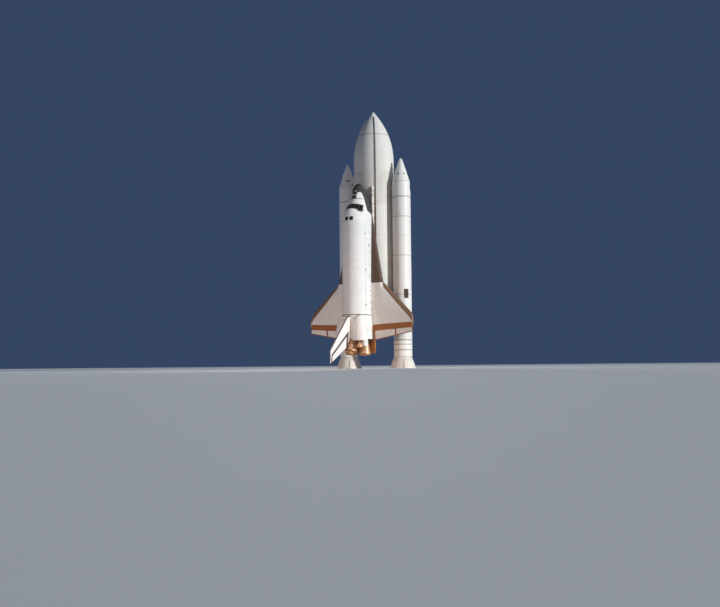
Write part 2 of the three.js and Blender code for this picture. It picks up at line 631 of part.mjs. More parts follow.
// Wings
const WING = [
  { yo: 96, lead: 480, trail: 1511, thick: 56, base: 297.5 },
  { yo: 105, lead: 500, trail: 1509.9, thick: 56, base: 298 },
  { yo: 150, lead: 759, trail: 1501.9, thick: 53.5, base: 300.8 },
  { yo: 190, lead: 985, trail: 1494.8, thick: 51, base: 303.2 },
  { yo: 203, lead: 1045, trail: 1492.5, thick: 50, base: 304 },
  { yo: 230, lead: 1070, trail: 1487.7, thick: 46.5, base: 305.6 },
  { yo: 312, lead: 1152, trail: 1473.2, thick: 35.5, base: 310.7 },
  { yo: 440, lead: 1280, trail: 1450.5, thick: 18.5, base: 318.5 },
  { yo: 456, lead: 1299, trail: 1447.6, thick: 16, base: 319.5 },
  { yo: 464, lead: 1315, trail: 1446.2, thick: 14.5, base: 320 },
  { yo: 468.3, lead: 1336, trail: 1445.5, thick: 8, base: 320.2 },
];

const wingAt = (yo) => {
  const next = Math.max(1, WING.findIndex((row) => row.yo >= yo));
  const [a, b] = [WING[next - 1], WING[next]];
  const t = (yo - a.yo) / (b.yo - a.yo);
  return Object.fromEntries(Object.keys(a).map((key) => [key, a[key] + (b[key] - a[key]) * t]));
};

// Half the wing's thickness at a fraction of its chord: a thin long-nosed glove inboard, a thin wing outboard
const wingHalf = (row, s) => {
  const round = 10 * (0.2969 * Math.sqrt(s) - 0.126 * s - 0.3516 * s ** 2 + 0.2843 * s ** 3 - 0.1015 * s ** 4);
  const glove = s < 0.66 ? (s / 0.66) ** 0.55 : 1 - ((s - 0.66) / 0.34) * 0.93;
  const inboard = THREE.MathUtils.clamp((203 - row.yo) / 98, 0, 1);
  return (row.thick / 2) * THREE.MathUtils.lerp(round, glove, inboard);
};

const CHORD_STEPS = [0, 0.01, 0.05, 0.13, 0.3, 0.55, 0.8, 1];

const wingRing = (side, row, until) => {
  const at = (q, face) => {
    const xo = row.lead + (until - row.lead) * q;
    const h = wingHalf(row, (xo - row.lead) / (row.trail - row.lead));
    return orb(xo, side * row.yo, row.base + (face > 0 ? 1.35 : -0.65) * h);
  };
  return [...[...CHORD_STEPS].reverse().map((q) => at(q, 1)), ...CHORD_STEPS.slice(1).map((q) => at(q, -1))];
};

const ELEVONS = [
  { name: "inboard", from: 121, to: 311.5, hinges: [150, 282] },
  { name: "outboard", from: 314.5, to: 463, hinges: [340, 440] },
];
const ELEVON_RANGE = { down: 20, up: -35 };
const ELEVON_ROOM_SIDES = 14;
const ELEVON_ROOM_FLAT = Math.cos(Math.PI / ELEVON_ROOM_SIDES); // its flats, not its corners, keep the running gap

const hingePoint = (side, yo) => {
  const row = wingAt(yo);
  const h = wingHalf(row, (HINGE_XO - row.lead) / (row.trail - row.lead));
  return { point: orb(HINGE_XO, side * yo, row.base + 0.35 * h), h };
};

// An elevon from one span station to another: round nose on its hinge line, thin trailing edge
const elevonSolid = (side, { from, to }, grown, noseSteps = 6) => {
  const ends = [from, to].map((yo, i) => {
    const { point, h } = hingePoint(side, yo);
    const y = side * (yo + (i ? grown : -grown));
    const zo = ORBITER_ZO - point.y / INCH;
    const nose = Array.from({ length: noseSteps + 1 }, (_, k) => {
      const a = (Math.PI * k) / noseSteps;
      return orb(HINGE_XO - (h + grown) * Math.sin(a), y, zo + (h + grown) * Math.cos(a));
    });
    const edge = 0.7 + grown;
    const trail = wingAt(yo).trail + grown;
    return [...nose, orb(trail, y, zo - edge), orb(trail, y, zo + edge)];
  });
  return loft(ends);
};

// The room an elevon turns in: a cone round its hinge line, and its flat part at both ends of its travel
const elevonRoom = (side, elevon) => {
  const { at, along } = elevonAxis(side, elevon);
  const [a, b] = [elevon.from, elevon.to].map((yo) => hingePoint(side, yo));
  const beyond = (RUN + 1) / (elevon.to - elevon.from);
  const cone = bar(
    a.point.clone().lerp(b.point, -beyond), a.point.clone().lerp(b.point, 1 + beyond),
    (a.h + (a.h - b.h) * beyond + RUN) / ELEVON_ROOM_FLAT, (b.h + RUN) / ELEVON_ROOM_FLAT, ELEVON_ROOM_SIDES,
  );
  const flat = elevonSolid(side, elevon, RUN, 2);
  return union(cone, flat, spun(flat, at, along, ELEVON_RANGE.up), spun(flat, at, along, ELEVON_RANGE.down));
};

const elevonAxis = (side, { from, to }) => {
  const [a, b] = [from, to].map((yo) => hingePoint(side, yo).point);
  return { at: a, along: b.sub(a).normalize().multiplyScalar(side) };
};

const elevonHinges = (side, elevon) => {
  const { at, along } = elevonAxis(side, elevon);
  return elevon.hinges.map((yo) => {
    const t = (side * yo * INCH - at.x) / along.x;
    const point = at.clone().addScaledVector(along, t);
    const h = hingePoint(side, yo).h;
    const forward = new THREE.Vector3(0, 0, 1).cross(along).cross(along).negate().normalize();
    return hingeSet({
      at: point, along, fixedArm: forward, movingArm: forward.clone().negate(),
      radius: h * 0.55, pin: 1.4, lug: 6, eye: 4, fixedReach: h + 8, movingReach: h,
    });
  });
};

const bodyEnvelope = (() => {
  const grown = BODY.filter((row) => row.xo >= 320).map((row) => bodyRing(row.xo, -SEAT));
  return loft([...grown, bodyRing(1500, -SEAT).map((p) => p.clone().setZ(-1560 * INCH))]);
})();

function buildWing(side) {
  const word = side > 0 ? "right" : "left";
  const made = group(`wing_${word}_group`);
  let solid = loft(WING.map((row) => wingRing(side, row, HINGE_XO - 1)));
  solid = cut(solid, bodyEnvelope);
  for (const elevon of ELEVONS) {
    const { at, along } = elevonAxis(side, elevon);
    const room = elevonRoom(side, elevon);
    const hinges = elevonHinges(side, elevon);
    solid = union(cut(solid, room), ...hinges.map((h) => h.lug));
    const rooms = hinges.flatMap((h) => [h.lugDrum, swept(h.lugArm, at, along, -ELEVON_RANGE.down, -ELEVON_RANGE.up, 14)]);
    const surface = cut(elevonSolid(side, elevon, 0), ...rooms, ...hinges.map((h) => h.bore));
    hinged(made, `elevon_${word}_${elevon.name}`, surface, WHITE_TILE, at, along, [ELEVON_RANGE.up, ELEVON_RANGE.down]);
  }
  piece(made, `wing_${word}`, solid, WHITE_TILE);
  return made;
}

// Aft body, tail and engines
const FIN = [
  { zo: 500, lead: 1312, trail: 1545, half: 13 },
  { zo: 540, lead: 1317, trail: 1564, half: 12 },
  { zo: 800, lead: 1575, trail: 1691, half: 5.6 },
  { zo: 812, lead: 1589, trail: 1697, half: 4 },
  { zo: 816, lead: 1604, trail: 1697, half: 2 },
];
const finHinge = (zo) => 1439 + (zo - 503) * 0.693;
const RUDDER = { from: 556, to: 794, turn: [-27.1, 49.3], split: [0, 98.6] };
const RUDDER_GAP = { low: 4.5, top: 6.2 }; // its ends rise and sink as it turns about its slanted hinge line
const rudderHalf = (zo) => 8.87 - (zo - 540) * 0.0182; // flush with the tail's skin at the hinge line
const rudderRoom = (zo) => 15.2 - (zo - 503) * 0.03;

function buildAftBody() {
  const made = group("aft_body");
  const shell = bodyPart(BAY.back, 1500);
  const shelf = box(orb(1495, -112, 277), orb(1522, 112, 299));
  let solid = union(shell, shelf);

  // Engines and their recesses
  const engines = ENGINES.map((engine) => ({ ...engine, ...engineParts(engine) }));
  solid = cut(solid, ...engines.map((e) => e.recess));
  solid = union(solid, ...engines.map((e) => e.arms));

  // Body flap on its hinges
  const flapAt = orb(FLAP_XO, 0, FLAP.zo);
  const across = RIGHT;
  const flapHinges = [-88, 88].map((yo) =>
    hingeSet({
      at: orb(FLAP_XO, yo, FLAP.zo), along: across, fixedArm: new THREE.Vector3(0, 0, 1), movingArm: new THREE.Vector3(0, 0, -1),
      radius: 4.4, pin: PIN, lug: 7, eye: 5, fixedReach: 20, movingReach: 8,
    }),
  );
  const flapRoom = FLAP.nose + RUN;
  const flapNose = bar(orb(FLAP_XO, -FLAP.half - RUN, FLAP.zo), orb(FLAP_XO, FLAP.half + RUN, FLAP.zo), flapRoom, flapRoom, 20);
  solid = cut(solid, flapNose, swept(flapSolid(RUN, 2), flapAt, across, FLAP.up, FLAP.down, 40));
  solid = union(solid, ...flapHinges.map((h) => h.lug));
  piece(made, "aft_fuselage", solid, WHITE_TILE);

  const flapRooms = flapHinges.flatMap((h) => [h.lugDrum, swept(h.lugArm, flapAt, across, -FLAP.down, -FLAP.up, 40)]);
  const flap = cut(flapSolid(0), ...flapRooms, ...flapHinges.map((h) => h.bore));
  hinged(made, "body_flap", flap, BLACK_TILE, flapAt, across, [FLAP.up, FLAP.down]);

  for (const engine of engines) {
    hinged(made, engine.name, engine.solid, NOZZLE, orb(engine.xo, engine.yo, engine.zo), engine.axis, [-ENGINE_RANGE, ENGINE_RANGE]);
  }
  made.add(buildFin());
  for (const side of [1, -1]) buildPod(made, side);
  return made;
}

const FLAP = { zo: 286, half: 116, nose: 8, end: 1612, up: -11.7, down: 22.55 };

const flapSolid = (grown, noseSteps = 6) => {
  const r = FLAP.nose + grown;
  const angles = Array.from({ length: noseSteps + 1 }, (_, k) => (Math.PI * k) / noseSteps);
  const nose = angles.map((a) => [FLAP_XO - r * Math.sin(a), FLAP.zo + r * Math.cos(a)]);
  const edge = [-1.5 - grown, 1.5 + grown].map((d) => [FLAP.end + grown, FLAP.zo + d]);
  const side = (yo) => [...nose, ...edge].map(([xo, zo]) => orb(xo, yo, zo));
  return loft([side(-FLAP.half - grown), side(FLAP.half + grown)]);
};

const ENGINES = [
  { name: "main_engine_upper", yo: 0, zo: 443, xo: 1445, up: 16, out: 0 },
  { name: "main_engine_right", yo: 53, zo: 342.6, xo: 1468.2, up: 10, out: 3.5 },
  { name: "main_engine_left", yo: -53, zo: 342.6, xo: 1468.2, up: 10, out: -3.5 },
];
const ENGINE_RANGE = 10.5;
const ENGINE_LENGTH = 157;

// Each engine is drawn along Z with its gimbal at zero and its bell below, then set at its cant
function engineParts({ yo, zo, xo, up, out }) {
  const [rise, splay] = [up, out].map(THREE.MathUtils.degToRad);
  const aft = new THREE.Vector3(Math.sin(splay), -Math.sin(rise), -Math.cos(rise)).normalize();
  const turn = new THREE.Quaternion().setFromUnitVectors(new THREE.Vector3(0, 0, -1), aft);
  const place = new THREE.Matrix4().compose(orb(xo, yo, zo), turn, new THREE.Vector3(1, 1, 1));
  const down = (s) => -s * INCH;
  const bell = [0, 0.08, 0.25, 0.5, 1].map((t) => [10 + 35.5 * t ** 0.62, 34 + (ENGINE_LENGTH - 34) * t]);
  const wall = 1.6;
  const outer = [[0, -7], [14, -7], [21, 0], [21, 20], [13, 30], ...bell.map(([r, s]) => [r + wall, s])];
  const inner = [bell[4], bell[2], bell[1]];
  const body = lathe([...outer, ...inner, [5.5, 34], [0, 36]], down, 18);
  const rods = (from, to, r, sides) => union(...[1, -1].map((s) => bar(inches(s * from, 0, 0), inches(s * to, 0, 0), r, r, sides)));
  const bosses = rods(17, 23, 5, 16);
  const solid = cut(union(body, bosses), rods(16, 24, boreFor(PIN), PIN_SIDES));
  const arms = [1, -1].map((s) =>
    union(box(inches(s * 24, -5, -4), inches(s * 29, 5, 22)), bar(inches(s * 17, 0, 0), inches(s * 26, 0, 0), PIN, PIN, PIN_SIDES)),
  );
  // The recess widens as the bell's swing does, and the rim swings further than the axis
  const swing = 1.2 * Math.sin(THREE.MathUtils.degToRad(ENGINE_RANGE));
  const room = bell.slice(1, 4).map(([r, s]) => [Math.max(38, r + wall + s * swing + 2 * RUN), s]);
  const recess = lathe([[0, -16], [34, -16], [38, 8], ...room, [0, room[2][1]]], down, 18);
  return { axis: RIGHT.clone().applyQuaternion(turn), solid: moved(solid, place), arms: moved(union(...arms), place), recess: moved(recess, place) };
}

const finRing = (row, from, until, halfOf) => {
  const chord = row.trail - row.lead;
  const shape = [[0, 0.06], [0.05, 0.34], [0.2, 0.7], [0.42, 1]];
  const outline = shape.map(([s, h]) => [row.lead + s * chord, h * row.half]).filter(([xo]) => xo < until - 4);
  const right = [...outline, [until, halfOf]];
  return [...right.map(([xo, h]) => orb(xo, h, row.zo)), ...[...right].reverse().map(([xo, h]) => orb(xo, -h, row.zo))];
};

function buildFin() {
  const made = group("fin_group");
  const fixed = loft(FIN.map((row) => finRing(row, row.lead, row.trail, Math.max(0.8, row.half * 0.16))));
  const axisFrom = orb(finHinge(RUDDER.from), 0, RUDDER.from);
  const axisTo = orb(finHinge(RUDDER.to), 0, RUDDER.to);
  const along = axisTo.clone().sub(axisFrom).normalize();
  const length = axisTo.distanceTo(axisFrom);

  // The rudder's room: a cone round the hinge line and everything aft of it between the rudder's ends
  const coneRoom = bar(axisFrom, axisTo, rudderRoom(RUDDER.from) + RUN, rudderRoom(RUDDER.to) + RUN, 24);
  const slabCorners = (zo) => [[finHinge(zo), -30], [1760, -30], [1760, 30], [finHinge(zo), 30]];
  const slab = loft([RUDDER.from, RUDDER.to].map((zo) => slabCorners(zo).map(([xo, yo]) => orb(xo, yo, zo))));
  const upper = ENGINES[0];
  const bellRoom = (up) => {
    const a = THREE.MathUtils.degToRad(up);
    const on = (s) => orb(upper.xo + s * Math.cos(a), 0, upper.zo + s * Math.sin(a));
    return bar(on(30), on(ENGINE_LENGTH + 12), 30, 54, 20);
  };
  let solid = cut(fixed, coneRoom, slab, bodyEnvelope, bellRoom(upper.up), bellRoom(upper.up + ENGINE_RANGE));

  const panel = (side) => {
    return loft(
      [RUDDER.from + RUDDER_GAP.low, RUDDER.to - RUDDER_GAP.top].map((zo) =>
        [[finHinge(zo), 0.25], [finHinge(zo), rudderHalf(zo)], [finAt(zo).trail, 1.6], [finAt(zo).trail, 0.25]].map(([xo, yo]) => orb(xo, side * yo, zo)),
      ),
    );
  };
  const panels = { right: panel(1), left: panel(-1) };
  const aft = new THREE.Vector3(0, 0, -1).addScaledVector(along, along.z).normalize();
  const stations = [{ share: 0.12, r: 5 }, { share: 0.86, r: 3.4 }];
  stations.forEach(({ share, r }) => {
    const at = axisFrom.clone().addScaledVector(along, length * share);
    const notch = rudderRoom(RUDDER.from + (RUDDER.to - RUDDER.from) * share) + RUN;
    const basis = new THREE.Matrix4().makeBasis(along, aft, along.clone().cross(aft)).setPosition(at);
    const drum = (from, to, radius, sides = 16) => moved(bar(inches(from, 0, 0), inches(to, 0, 0), radius, radius, sides), basis);
    const slabOf = (from, to, near, far, low, high) => moved(box(inches(from, near, low), inches(to, far, high)), basis);
    const lug = union(drum(-3, 3, r), slabOf(-3, 3, -26, 0, -r * 0.8, r * 0.8), drum(-7.6, 7.6, r * 0.29, PIN_SIDES));
    const bore = drum(-8, 8, boreFor(r * 0.29), PIN_SIDES);
    const pad = RUN;
    const eye = (sign, side) => union(drum(sign * 3.3, sign * 8.3, r), slabOf(sign * 3.3, sign * 8.3, 0.6, r * 2.2, side * 0.7, side * r * 0.75));
    const eyeRoom = (sign) => drum(sign * 3.05, sign * 8.9, r + pad);
    const side = { right: handed(along, aft) > 0 ? 1 : -1, left: handed(along, aft) > 0 ? -1 : 1 };
    panels.right = union(cut(panels.right, drum(-3.3, 3.3, notch), eyeRoom(-1)), eye(1, side.right));
    panels.left = union(cut(panels.left, drum(-3.3, 3.3, notch), eyeRoom(1)), eye(-1, side.left));
    panels.right = cut(panels.right, bore);
    panels.left = cut(panels.left, bore);
    solid = union(solid, lug);
  });
  piece(made, "vertical_tail", solid, WHITE_TILE);
  const left = hinged(made, "rudder_left", panels.left, WHITE_TILE, axisFrom, along.clone().negate(), RUDDER.turn);
  hinged(left, "rudder_right", panels.right, WHITE_TILE, axisFrom, along, RUDDER.split).position.set(0, 0, 0);
  return made;
}

// Which way the third axis of a hinge frame points: towards the right wing or the left
const handed = (along, aft) => along.clone().cross(aft).x;

const finAt = (zo) => {
  const next = Math.max(1, FIN.findIndex((row) => row.zo >= zo));
  const [a, b] = [FIN[next - 1], FIN[next]];
  const t = (zo - a.zo) / (b.zo - a.zo);
  return Object.fromEntries(Object.keys(a).map((key) => [key, a[key] + (b[key] - a[key]) * t]));
};

// Manoeuvring pods on the shoulders of the aft body
const POD = [
  { xo: 1311, yo: 62, zo: 474, wide: 22, high: 22 },
  { xo: 1330, yo: 65, zo: 474, wide: 36, high: 36 },
  { xo: 1370, yo: 69, zo: 473, wide: 50, high: 49 },
  { xo: 1430, yo: 73, zo: 472, wide: 58, high: 57 },
  { xo: 1500, yo: 75, zo: 472, wide: 60, high: 58 },
  { xo: 1513, yo: 76, zo: 473, wide: 55, high: 53 },
];

function buildPod(made, side) {
  const word = side > 0 ? "right" : "left";
  const rings = POD.map(({ xo, yo, zo, wide, high }) =>
    Array.from({ length: 16 }, (_, i) => {
      const a = (2 * Math.PI * i) / 16;
      return orb(xo, side * (yo + wide * Math.cos(a)), zo + high * Math.sin(a));
    }),
  );
  const pod = loft(rings);
  const housing = box(orb(1480, side * 104, 440), orb(1556, side * 132, 496));
  const bell = bar(orb(1512, side * 80, 486), orb(1566, side * 84, 494), 11, 23, 16);
  const hollow = bar(orb(1526, side * 81, 488), orb(1570, side * 84.3, 494.6), 12, 22, 16);
  const finRoom = box(orb(1300, -15, 490), orb(1600, 15, 700));
  piece(made, `manoeuvring_pod_${word}`, cut(union(pod, housing, bell), hollow, bodyEnvelope, finRoom), WHITE_TILE);
}

// Struts and lines between tank, boosters and orbiter
const placedBody = moved(bodyEnvelope, new THREE.Matrix4().makeTranslation(0, -ORBITER_OUT * INCH, (FLOOR_XT - XO_TO_XT) * INCH));
const bellyY = (zo) => -(ORBITER_OUT - (ORBITER_ZO - zo));

const UMBILICAL = { top: 2034, foot: 2086 };

function buildAttachments() {
  const made = group("attachments");
  const at = (x, y, xt) => new THREE.Vector3(x * INCH, y * INCH, tank(xt));
  const noseY = bellyY(277) - 4;
  const bipod = union(
    bar(at(50, -150, 1152), at(5, noseY + 6, 1129), 4.5),
    bar(at(-50, -150, 1152), at(-5, noseY + 6, 1129), 4.5),
    box(at(-10, noseY + 12, 1122), at(10, noseY, 1138)),
  );
  piece(made, "forward_bipod", cut(bipod, tankEnvelope, placedBody), WHITE_TANK);

  const aftY = bellyY(270) - 2;
  const corner = (s) => at(s * 94, aftY + 11, 2058);
  const frame = union(
    ...[1, -1].flatMap((s) => [
      bar(at(s * 112, -112, 2056), corner(s), 6),
      bar(at(s * 108, -118, 1875), corner(s), 6.5),
      box(at(s * 84, aftY + 16, 2048), at(s * 104, aftY, 2070)),
      box(at(s * 50, aftY + 80, UMBILICAL.top), at(s * 86, aftY, UMBILICAL.foot)),
    ]),
    bar(corner(-1), corner(1), 7),
    bar(at(-112, -112, 2056), at(94, aftY + 11, 2058), 4.5),
  );
  piece(made, "aft_attach_frame", cut(frame, tankEnvelope, placedBody, feedLine(SEAT)), WHITE_TANK);

  for (const side of [1, -1]) {
    const word = side > 0 ? "right" : "left";
    const reach = (x, y) => at(side * x, y, 2054);
    const struts = union(
      bar(reach(132, -100), reach(212, -62), 4.5),
      bar(reach(132, 100), reach(212, 62), 4.5),
      bar(reach(172, -82), reach(172, 82), 3.4),
    );
    const room = lathe([[0, 1400], [BOOSTER_R + 4 + SEAT, 1400], [BOOSTER_R + 4 + SEAT, 1620], [0, 1620]], booster, BOOSTER_SIDES);
    const beside = moved(room, new THREE.Matrix4().makeTranslation(side * BOOSTER_SIDE * INCH, 0, 0));
    piece(made, `booster_${word}_struts`, cut(struts, tankEnvelope, beside), WHITE_BOOSTER);
  }
  return made;
}

const root = new THREE.Group();
root.name = "shuttle_stack";
root.scale.setScalar(SCALE);
const stack = group("stack", 0, TANK_Y * INCH, 0);
root.add(stack);
stack.add(buildTank(), buildBooster(1), buildBooster(-1), buildAttachments());
const orbiter = group("orbiter", 0, -ORBITER_OUT * INCH, (FLOOR_XT - XO_TO_XT) * INCH);
orbiter.add(buildForwardBody(), buildMidBody(), buildWing(1), buildWing(-1), buildAftBody());
stack.add(orbiter);

export default root;
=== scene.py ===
# %% [markdown]
# # A space shuttle on its tank and boosters
# This lesson dresses a scale model at 1:2: a winged orbiter on the side of its tank, between two boosters.
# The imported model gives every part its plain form, its place and its joints. Each step here makes a finer
# surface for one part, names it, and lets it ride on the body that moves it.

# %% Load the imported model
import json
import math

import bmesh
import bpy
import numpy as np
from mathutils import Matrix, Vector

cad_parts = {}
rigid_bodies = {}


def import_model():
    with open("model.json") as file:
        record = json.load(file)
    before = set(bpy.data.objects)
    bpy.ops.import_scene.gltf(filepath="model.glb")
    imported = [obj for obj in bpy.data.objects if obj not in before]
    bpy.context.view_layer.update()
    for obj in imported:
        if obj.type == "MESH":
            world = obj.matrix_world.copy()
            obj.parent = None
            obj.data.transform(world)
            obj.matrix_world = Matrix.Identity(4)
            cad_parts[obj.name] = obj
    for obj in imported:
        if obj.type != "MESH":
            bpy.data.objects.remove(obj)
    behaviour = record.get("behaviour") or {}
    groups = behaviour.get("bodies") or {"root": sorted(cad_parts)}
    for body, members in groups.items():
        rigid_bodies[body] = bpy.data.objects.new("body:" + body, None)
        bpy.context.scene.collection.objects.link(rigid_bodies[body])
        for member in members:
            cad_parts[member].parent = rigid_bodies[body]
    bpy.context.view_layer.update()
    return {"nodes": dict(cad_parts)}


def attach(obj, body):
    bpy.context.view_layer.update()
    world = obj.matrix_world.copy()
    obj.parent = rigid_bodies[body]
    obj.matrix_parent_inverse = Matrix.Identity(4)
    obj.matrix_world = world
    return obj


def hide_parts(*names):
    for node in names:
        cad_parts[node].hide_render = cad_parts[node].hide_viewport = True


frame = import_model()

print("packed model:", len(frame["nodes"]), "nodes")

# %% [markdown]
# ## Stations
# Such vehicles are drawn with stations, in inches: XT down the tank, XB down a booster and XO down the
# orbiter, with YO across it and ZO for its height. One function for each part turns its stations into
# metres, so that all sizes below can be the real ones.

# %% Stations and main sizes
INCH = 0.0254 / 2
FLOOR_XT = 2473.6
XB_TO_XT = 543.0
XO_TO_XT = 741.0
BOOSTER_SIDE = 250.5
TANK_Y = 293.0
TANK_R = 166.5
BOOSTER_R = 73.0
WALL = 5.0
AXIS_ZO = 400.0
ZERO_ZO_Y = TANK_Y - 336.5 + AXIS_ZO
SIDES = ((1, "right"), (-1, "left"))
UP = (0, 0, 1)
DOWN = (0, 0, -1)
NONE = -5

BODY = dict(
    xo=[236, 239, 247, 262, 285, 320, 360, 400, 416, 438, 460, 485, 525, 582, 1307, 1400, 1500],
    half=[2, 11, 22, 34, 46, 58, 69, 79, 82, 87, 92, 98, 103, 105, 105, 110, 118],
    wide=[340, 340, 338, 334, 327, 320, 316, 315, 315, 318, 323, 334, 362, 400, 400, 400, 400],
    top=[342, 351, 361, 373, 386, 401, 416, 430, 437, 465, 486, 497, 503, 505, 505, 505, 499],
    belly=[338, 329, 319, 308, 297, 287, 280, 276, 275, 274, 273, 272, 271, 270, 270, 271, 275],
    square=[2, 2, 2.1, 2.3, 2.8, 3.4, 4, 4.6, 4.8, 5, 5, 5, 5, 5, 5, 5, 5],
)


def points(x, y, z):
    """Points in metres from inches: across, towards the tank, and up."""
    return np.stack(np.broadcast_arrays(x, y, z), -1).astype(float) * INCH


def tank(angle, radius, xt):
    """A point round the tank: angle in degrees from the orbiter's side towards the right booster."""
    a = np.radians(angle)
    return points(radius * np.sin(a), TANK_Y - radius * np.cos(a), FLOOR_XT - np.asarray(xt, float))


def booster(side, angle, radius, xb):
    """A point round a booster: side is 1 for the right one, and the angle is as for the tank."""
    a = np.radians(angle)
    up = FLOOR_XT - XB_TO_XT - np.asarray(xb, float)
    return points(side * (BOOSTER_SIDE + radius * np.sin(a)), TANK_Y - radius * np.cos(a), up)


def orb(xo, yo, zo):
    """A point of the orbiter from its stations."""
    return points(yo, ZERO_ZO_Y - np.asarray(zo, float), FLOOR_XT - XO_TO_XT - np.asarray(xo, float))


def smooth(x, xs, ys):
    """A monotone cubic through points: each knot's slope is the harmonic mean of its two chords' slopes."""
    xs, ys = np.asarray(xs, float), np.asarray(ys, float)
    chord = np.diff(ys) / np.diff(xs)
    same = chord[1:] * chord[:-1] > 0
    total = np.where(same, chord[1:] + chord[:-1], 1.0)
    inner = np.where(same, 2 * chord[1:] * chord[:-1] / total, 0.0)
    slope = np.concatenate([chord[:1], inner, chord[-1:]])
    i = np.clip(np.searchsorted(xs, x, side="right") - 1, 0, len(xs) - 2)
    step = xs[i + 1] - xs[i]
    t = np.clip((x - xs[i]) / step, 0, 1)
    a = (1 + 2 * t) * (1 - t) ** 2 * ys[i] + t * (1 - t) ** 2 * step * slope[i]
    return a + t * t * (3 - 2 * t) * ys[i + 1] + t * t * (t - 1) * step * slope[i + 1]


def row_of(table, x, first="xo", curve=smooth):
    """Every column of a table at a station, by name."""
    return {key: curve(x, table[first], table[key]) for key in table if key != first}


def power(v, n):
    """A signed power, for a squared-off ellipse."""
    return np.sign(v) * np.abs(v) ** (2.0 / n)


def body_row(xo, over, inset):
    """The body's section at a station: its half width, widest height, height from there, and squareness."""
    row = row_of(BODY, xo)
    high = np.where(over, row["top"] - inset - row["wide"], row["wide"] - row["belly"] - inset)
    return row["half"] - inset, row["wide"], high, np.where(over, 2.0, row["square"])


def skin(xo, degrees, inset=0.0):
    """A point on the orbiter's skin: ellipse over its widest line, squared-off ellipse under it."""
    xo, degrees = np.broadcast_arrays(np.asarray(xo, float), np.asarray(degrees, float))
    a = np.radians(degrees)
    half, wide, high, n = body_row(xo, np.sin(a) >= 0, inset)
    return orb(xo, half * power(np.cos(a), n), wide + high * power(np.sin(a), n))


print("the tank's axis is at y =", round(TANK_Y * INCH, 3), "m")

# %% [markdown]
# ## Camera
# The photograph looks up from far off on the right front, so the camera stands on the floor there. Its
# turn and its lens were fitted to points of the stack.

# %% Camera
FOCAL_PIXELS = 949.7
SENSOR = 36.0
PLACE = (46.219, -84.957, 0.3)
RIGHTWARD = (0.87897, 0.47679, -0.00905)
UPWARD = (0.03903, -0.05302, 0.99783)
BACKWARD = (0.47527, -0.87742, -0.06521)
scene = bpy.context.scene


def link(name, data):
    """A new object in the scene."""
    made = bpy.data.objects.new(name, data)
    scene.collection.objects.link(made)
    return made


camera = link("camera", bpy.data.cameras.new("camera"))
camera.data.sensor_width = SENSOR
camera.data.lens = FOCAL_PIXELS / 720 * SENSOR
camera.data.clip_end = 2000.0
turn = Matrix((RIGHTWARD, UPWARD, BACKWARD)).transposed().to_4x4()
camera.matrix_world = Matrix.Translation(PLACE) @ turn
scene.camera = camera
print("camera at", PLACE)

# %% [markdown]
# ## Mesh helpers
# A skin is a grid of points, worked out as one array and joined into quads. Blender's own cylinders and
# curves could start many pieces, but each would need its own touches. Turned forms, pipes, blocks and thick
# sheets are all grids here, so a few helpers make every piece, and a Boolean cuts its openings.

# %% Grids


def solid(grid, ends=True):
    """A grid closed round its rows: quads between neighbours, and a fan from each end row to its middle."""
    rows, cols = grid.shape[:2]
    j = np.arange(cols)
    k = (j + 1) % cols
    i = np.arange(rows - 1)[:, None] * cols
    faces = [np.stack([i + j, i + k, i + cols + k, i + cols + j], -1).reshape(-1, 4)]
    verts = grid.reshape(-1, 3)
    if ends:
        hub = np.full(cols, rows * cols)
        last = (rows - 1) * cols
        verts = np.concatenate([verts, grid[[0, -1]].mean(1)])
        faces += [np.stack([hub, hub, k, j], -1), np.stack([last + j, last + k, hub + 1, hub + 1], -1)]
    return verts, np.concatenate(faces)


def merged(*parts):
    """Many vertex and face arrays as one: each part's faces count on from the vertices before it."""
    starts = np.cumsum([0] + [len(verts) for verts, faces in parts])
    faces = [faces + start for (verts, faces), start in zip(parts, starts)]
    return np.concatenate([verts for verts, _ in parts]), np.concatenate(faces)


def shell(outer, inner):
    """A thick sheet from two grids of one size: each ring runs out along one and back along the other."""
    verts, faces = solid(np.concatenate([outer, inner[:, ::-1]], 1), ends=False)
    n = outer.shape[1]
    j = np.arange(n - 1)
    cap = np.stack([j, j + 1, 2 * n - 2 - j, 2 * n - 1 - j], -1)
    return verts, np.concatenate([faces, cap, cap[:, ::-1] + (len(outer) - 1) * 2 * n])


print("a grid of 3 by 4 points has", len(solid(np.zeros((3, 4, 3)))[1]), "faces")

# %% Turned forms and pipes


def circle(cols):
    """Angles in equal steps once round."""
    return np.linspace(0, 2 * np.pi, cols, endpoint=False)


def basis(along):
    """A unit vector along a direction, and two at right angles to it."""
    along = np.asarray(along, float) / np.linalg.norm(along)
    side = np.cross(along, UP if abs(along[2]) < 0.9 else (1, 0, 0))
    side /= np.linalg.norm(side)
    return along, side, np.cross(side, along)


def round_axis(start, along, s, radius, cols):
    """start + s along + r (cos a side + sin a out), in inches. The radius may change with the angle."""
    along, side, out = basis(along)
    a = circle(cols)
    ring = np.cos(a)[:, None] * side + np.sin(a)[:, None] * out
    s = np.asarray(s, float)[:, None, None]
    return start + (s * along + np.reshape(radius, (len(s), -1))[:, :, None] * ring) * INCH


def turned(start, along, profile, cols=32, ends=True):
    """A turned form on any axis, from rows of (distance along, radius)."""
    s, r = np.array(profile, float).T
    return solid(round_axis(start, along, s, r, cols), ends)


def drum(start, along, first, last, radius, cols=20, hub=0.2):
    """A short cylinder from one distance along its axis to another."""
    return turned(start, along, [[first, hub], [first, radius], [last, radius], [last, hub]], cols)


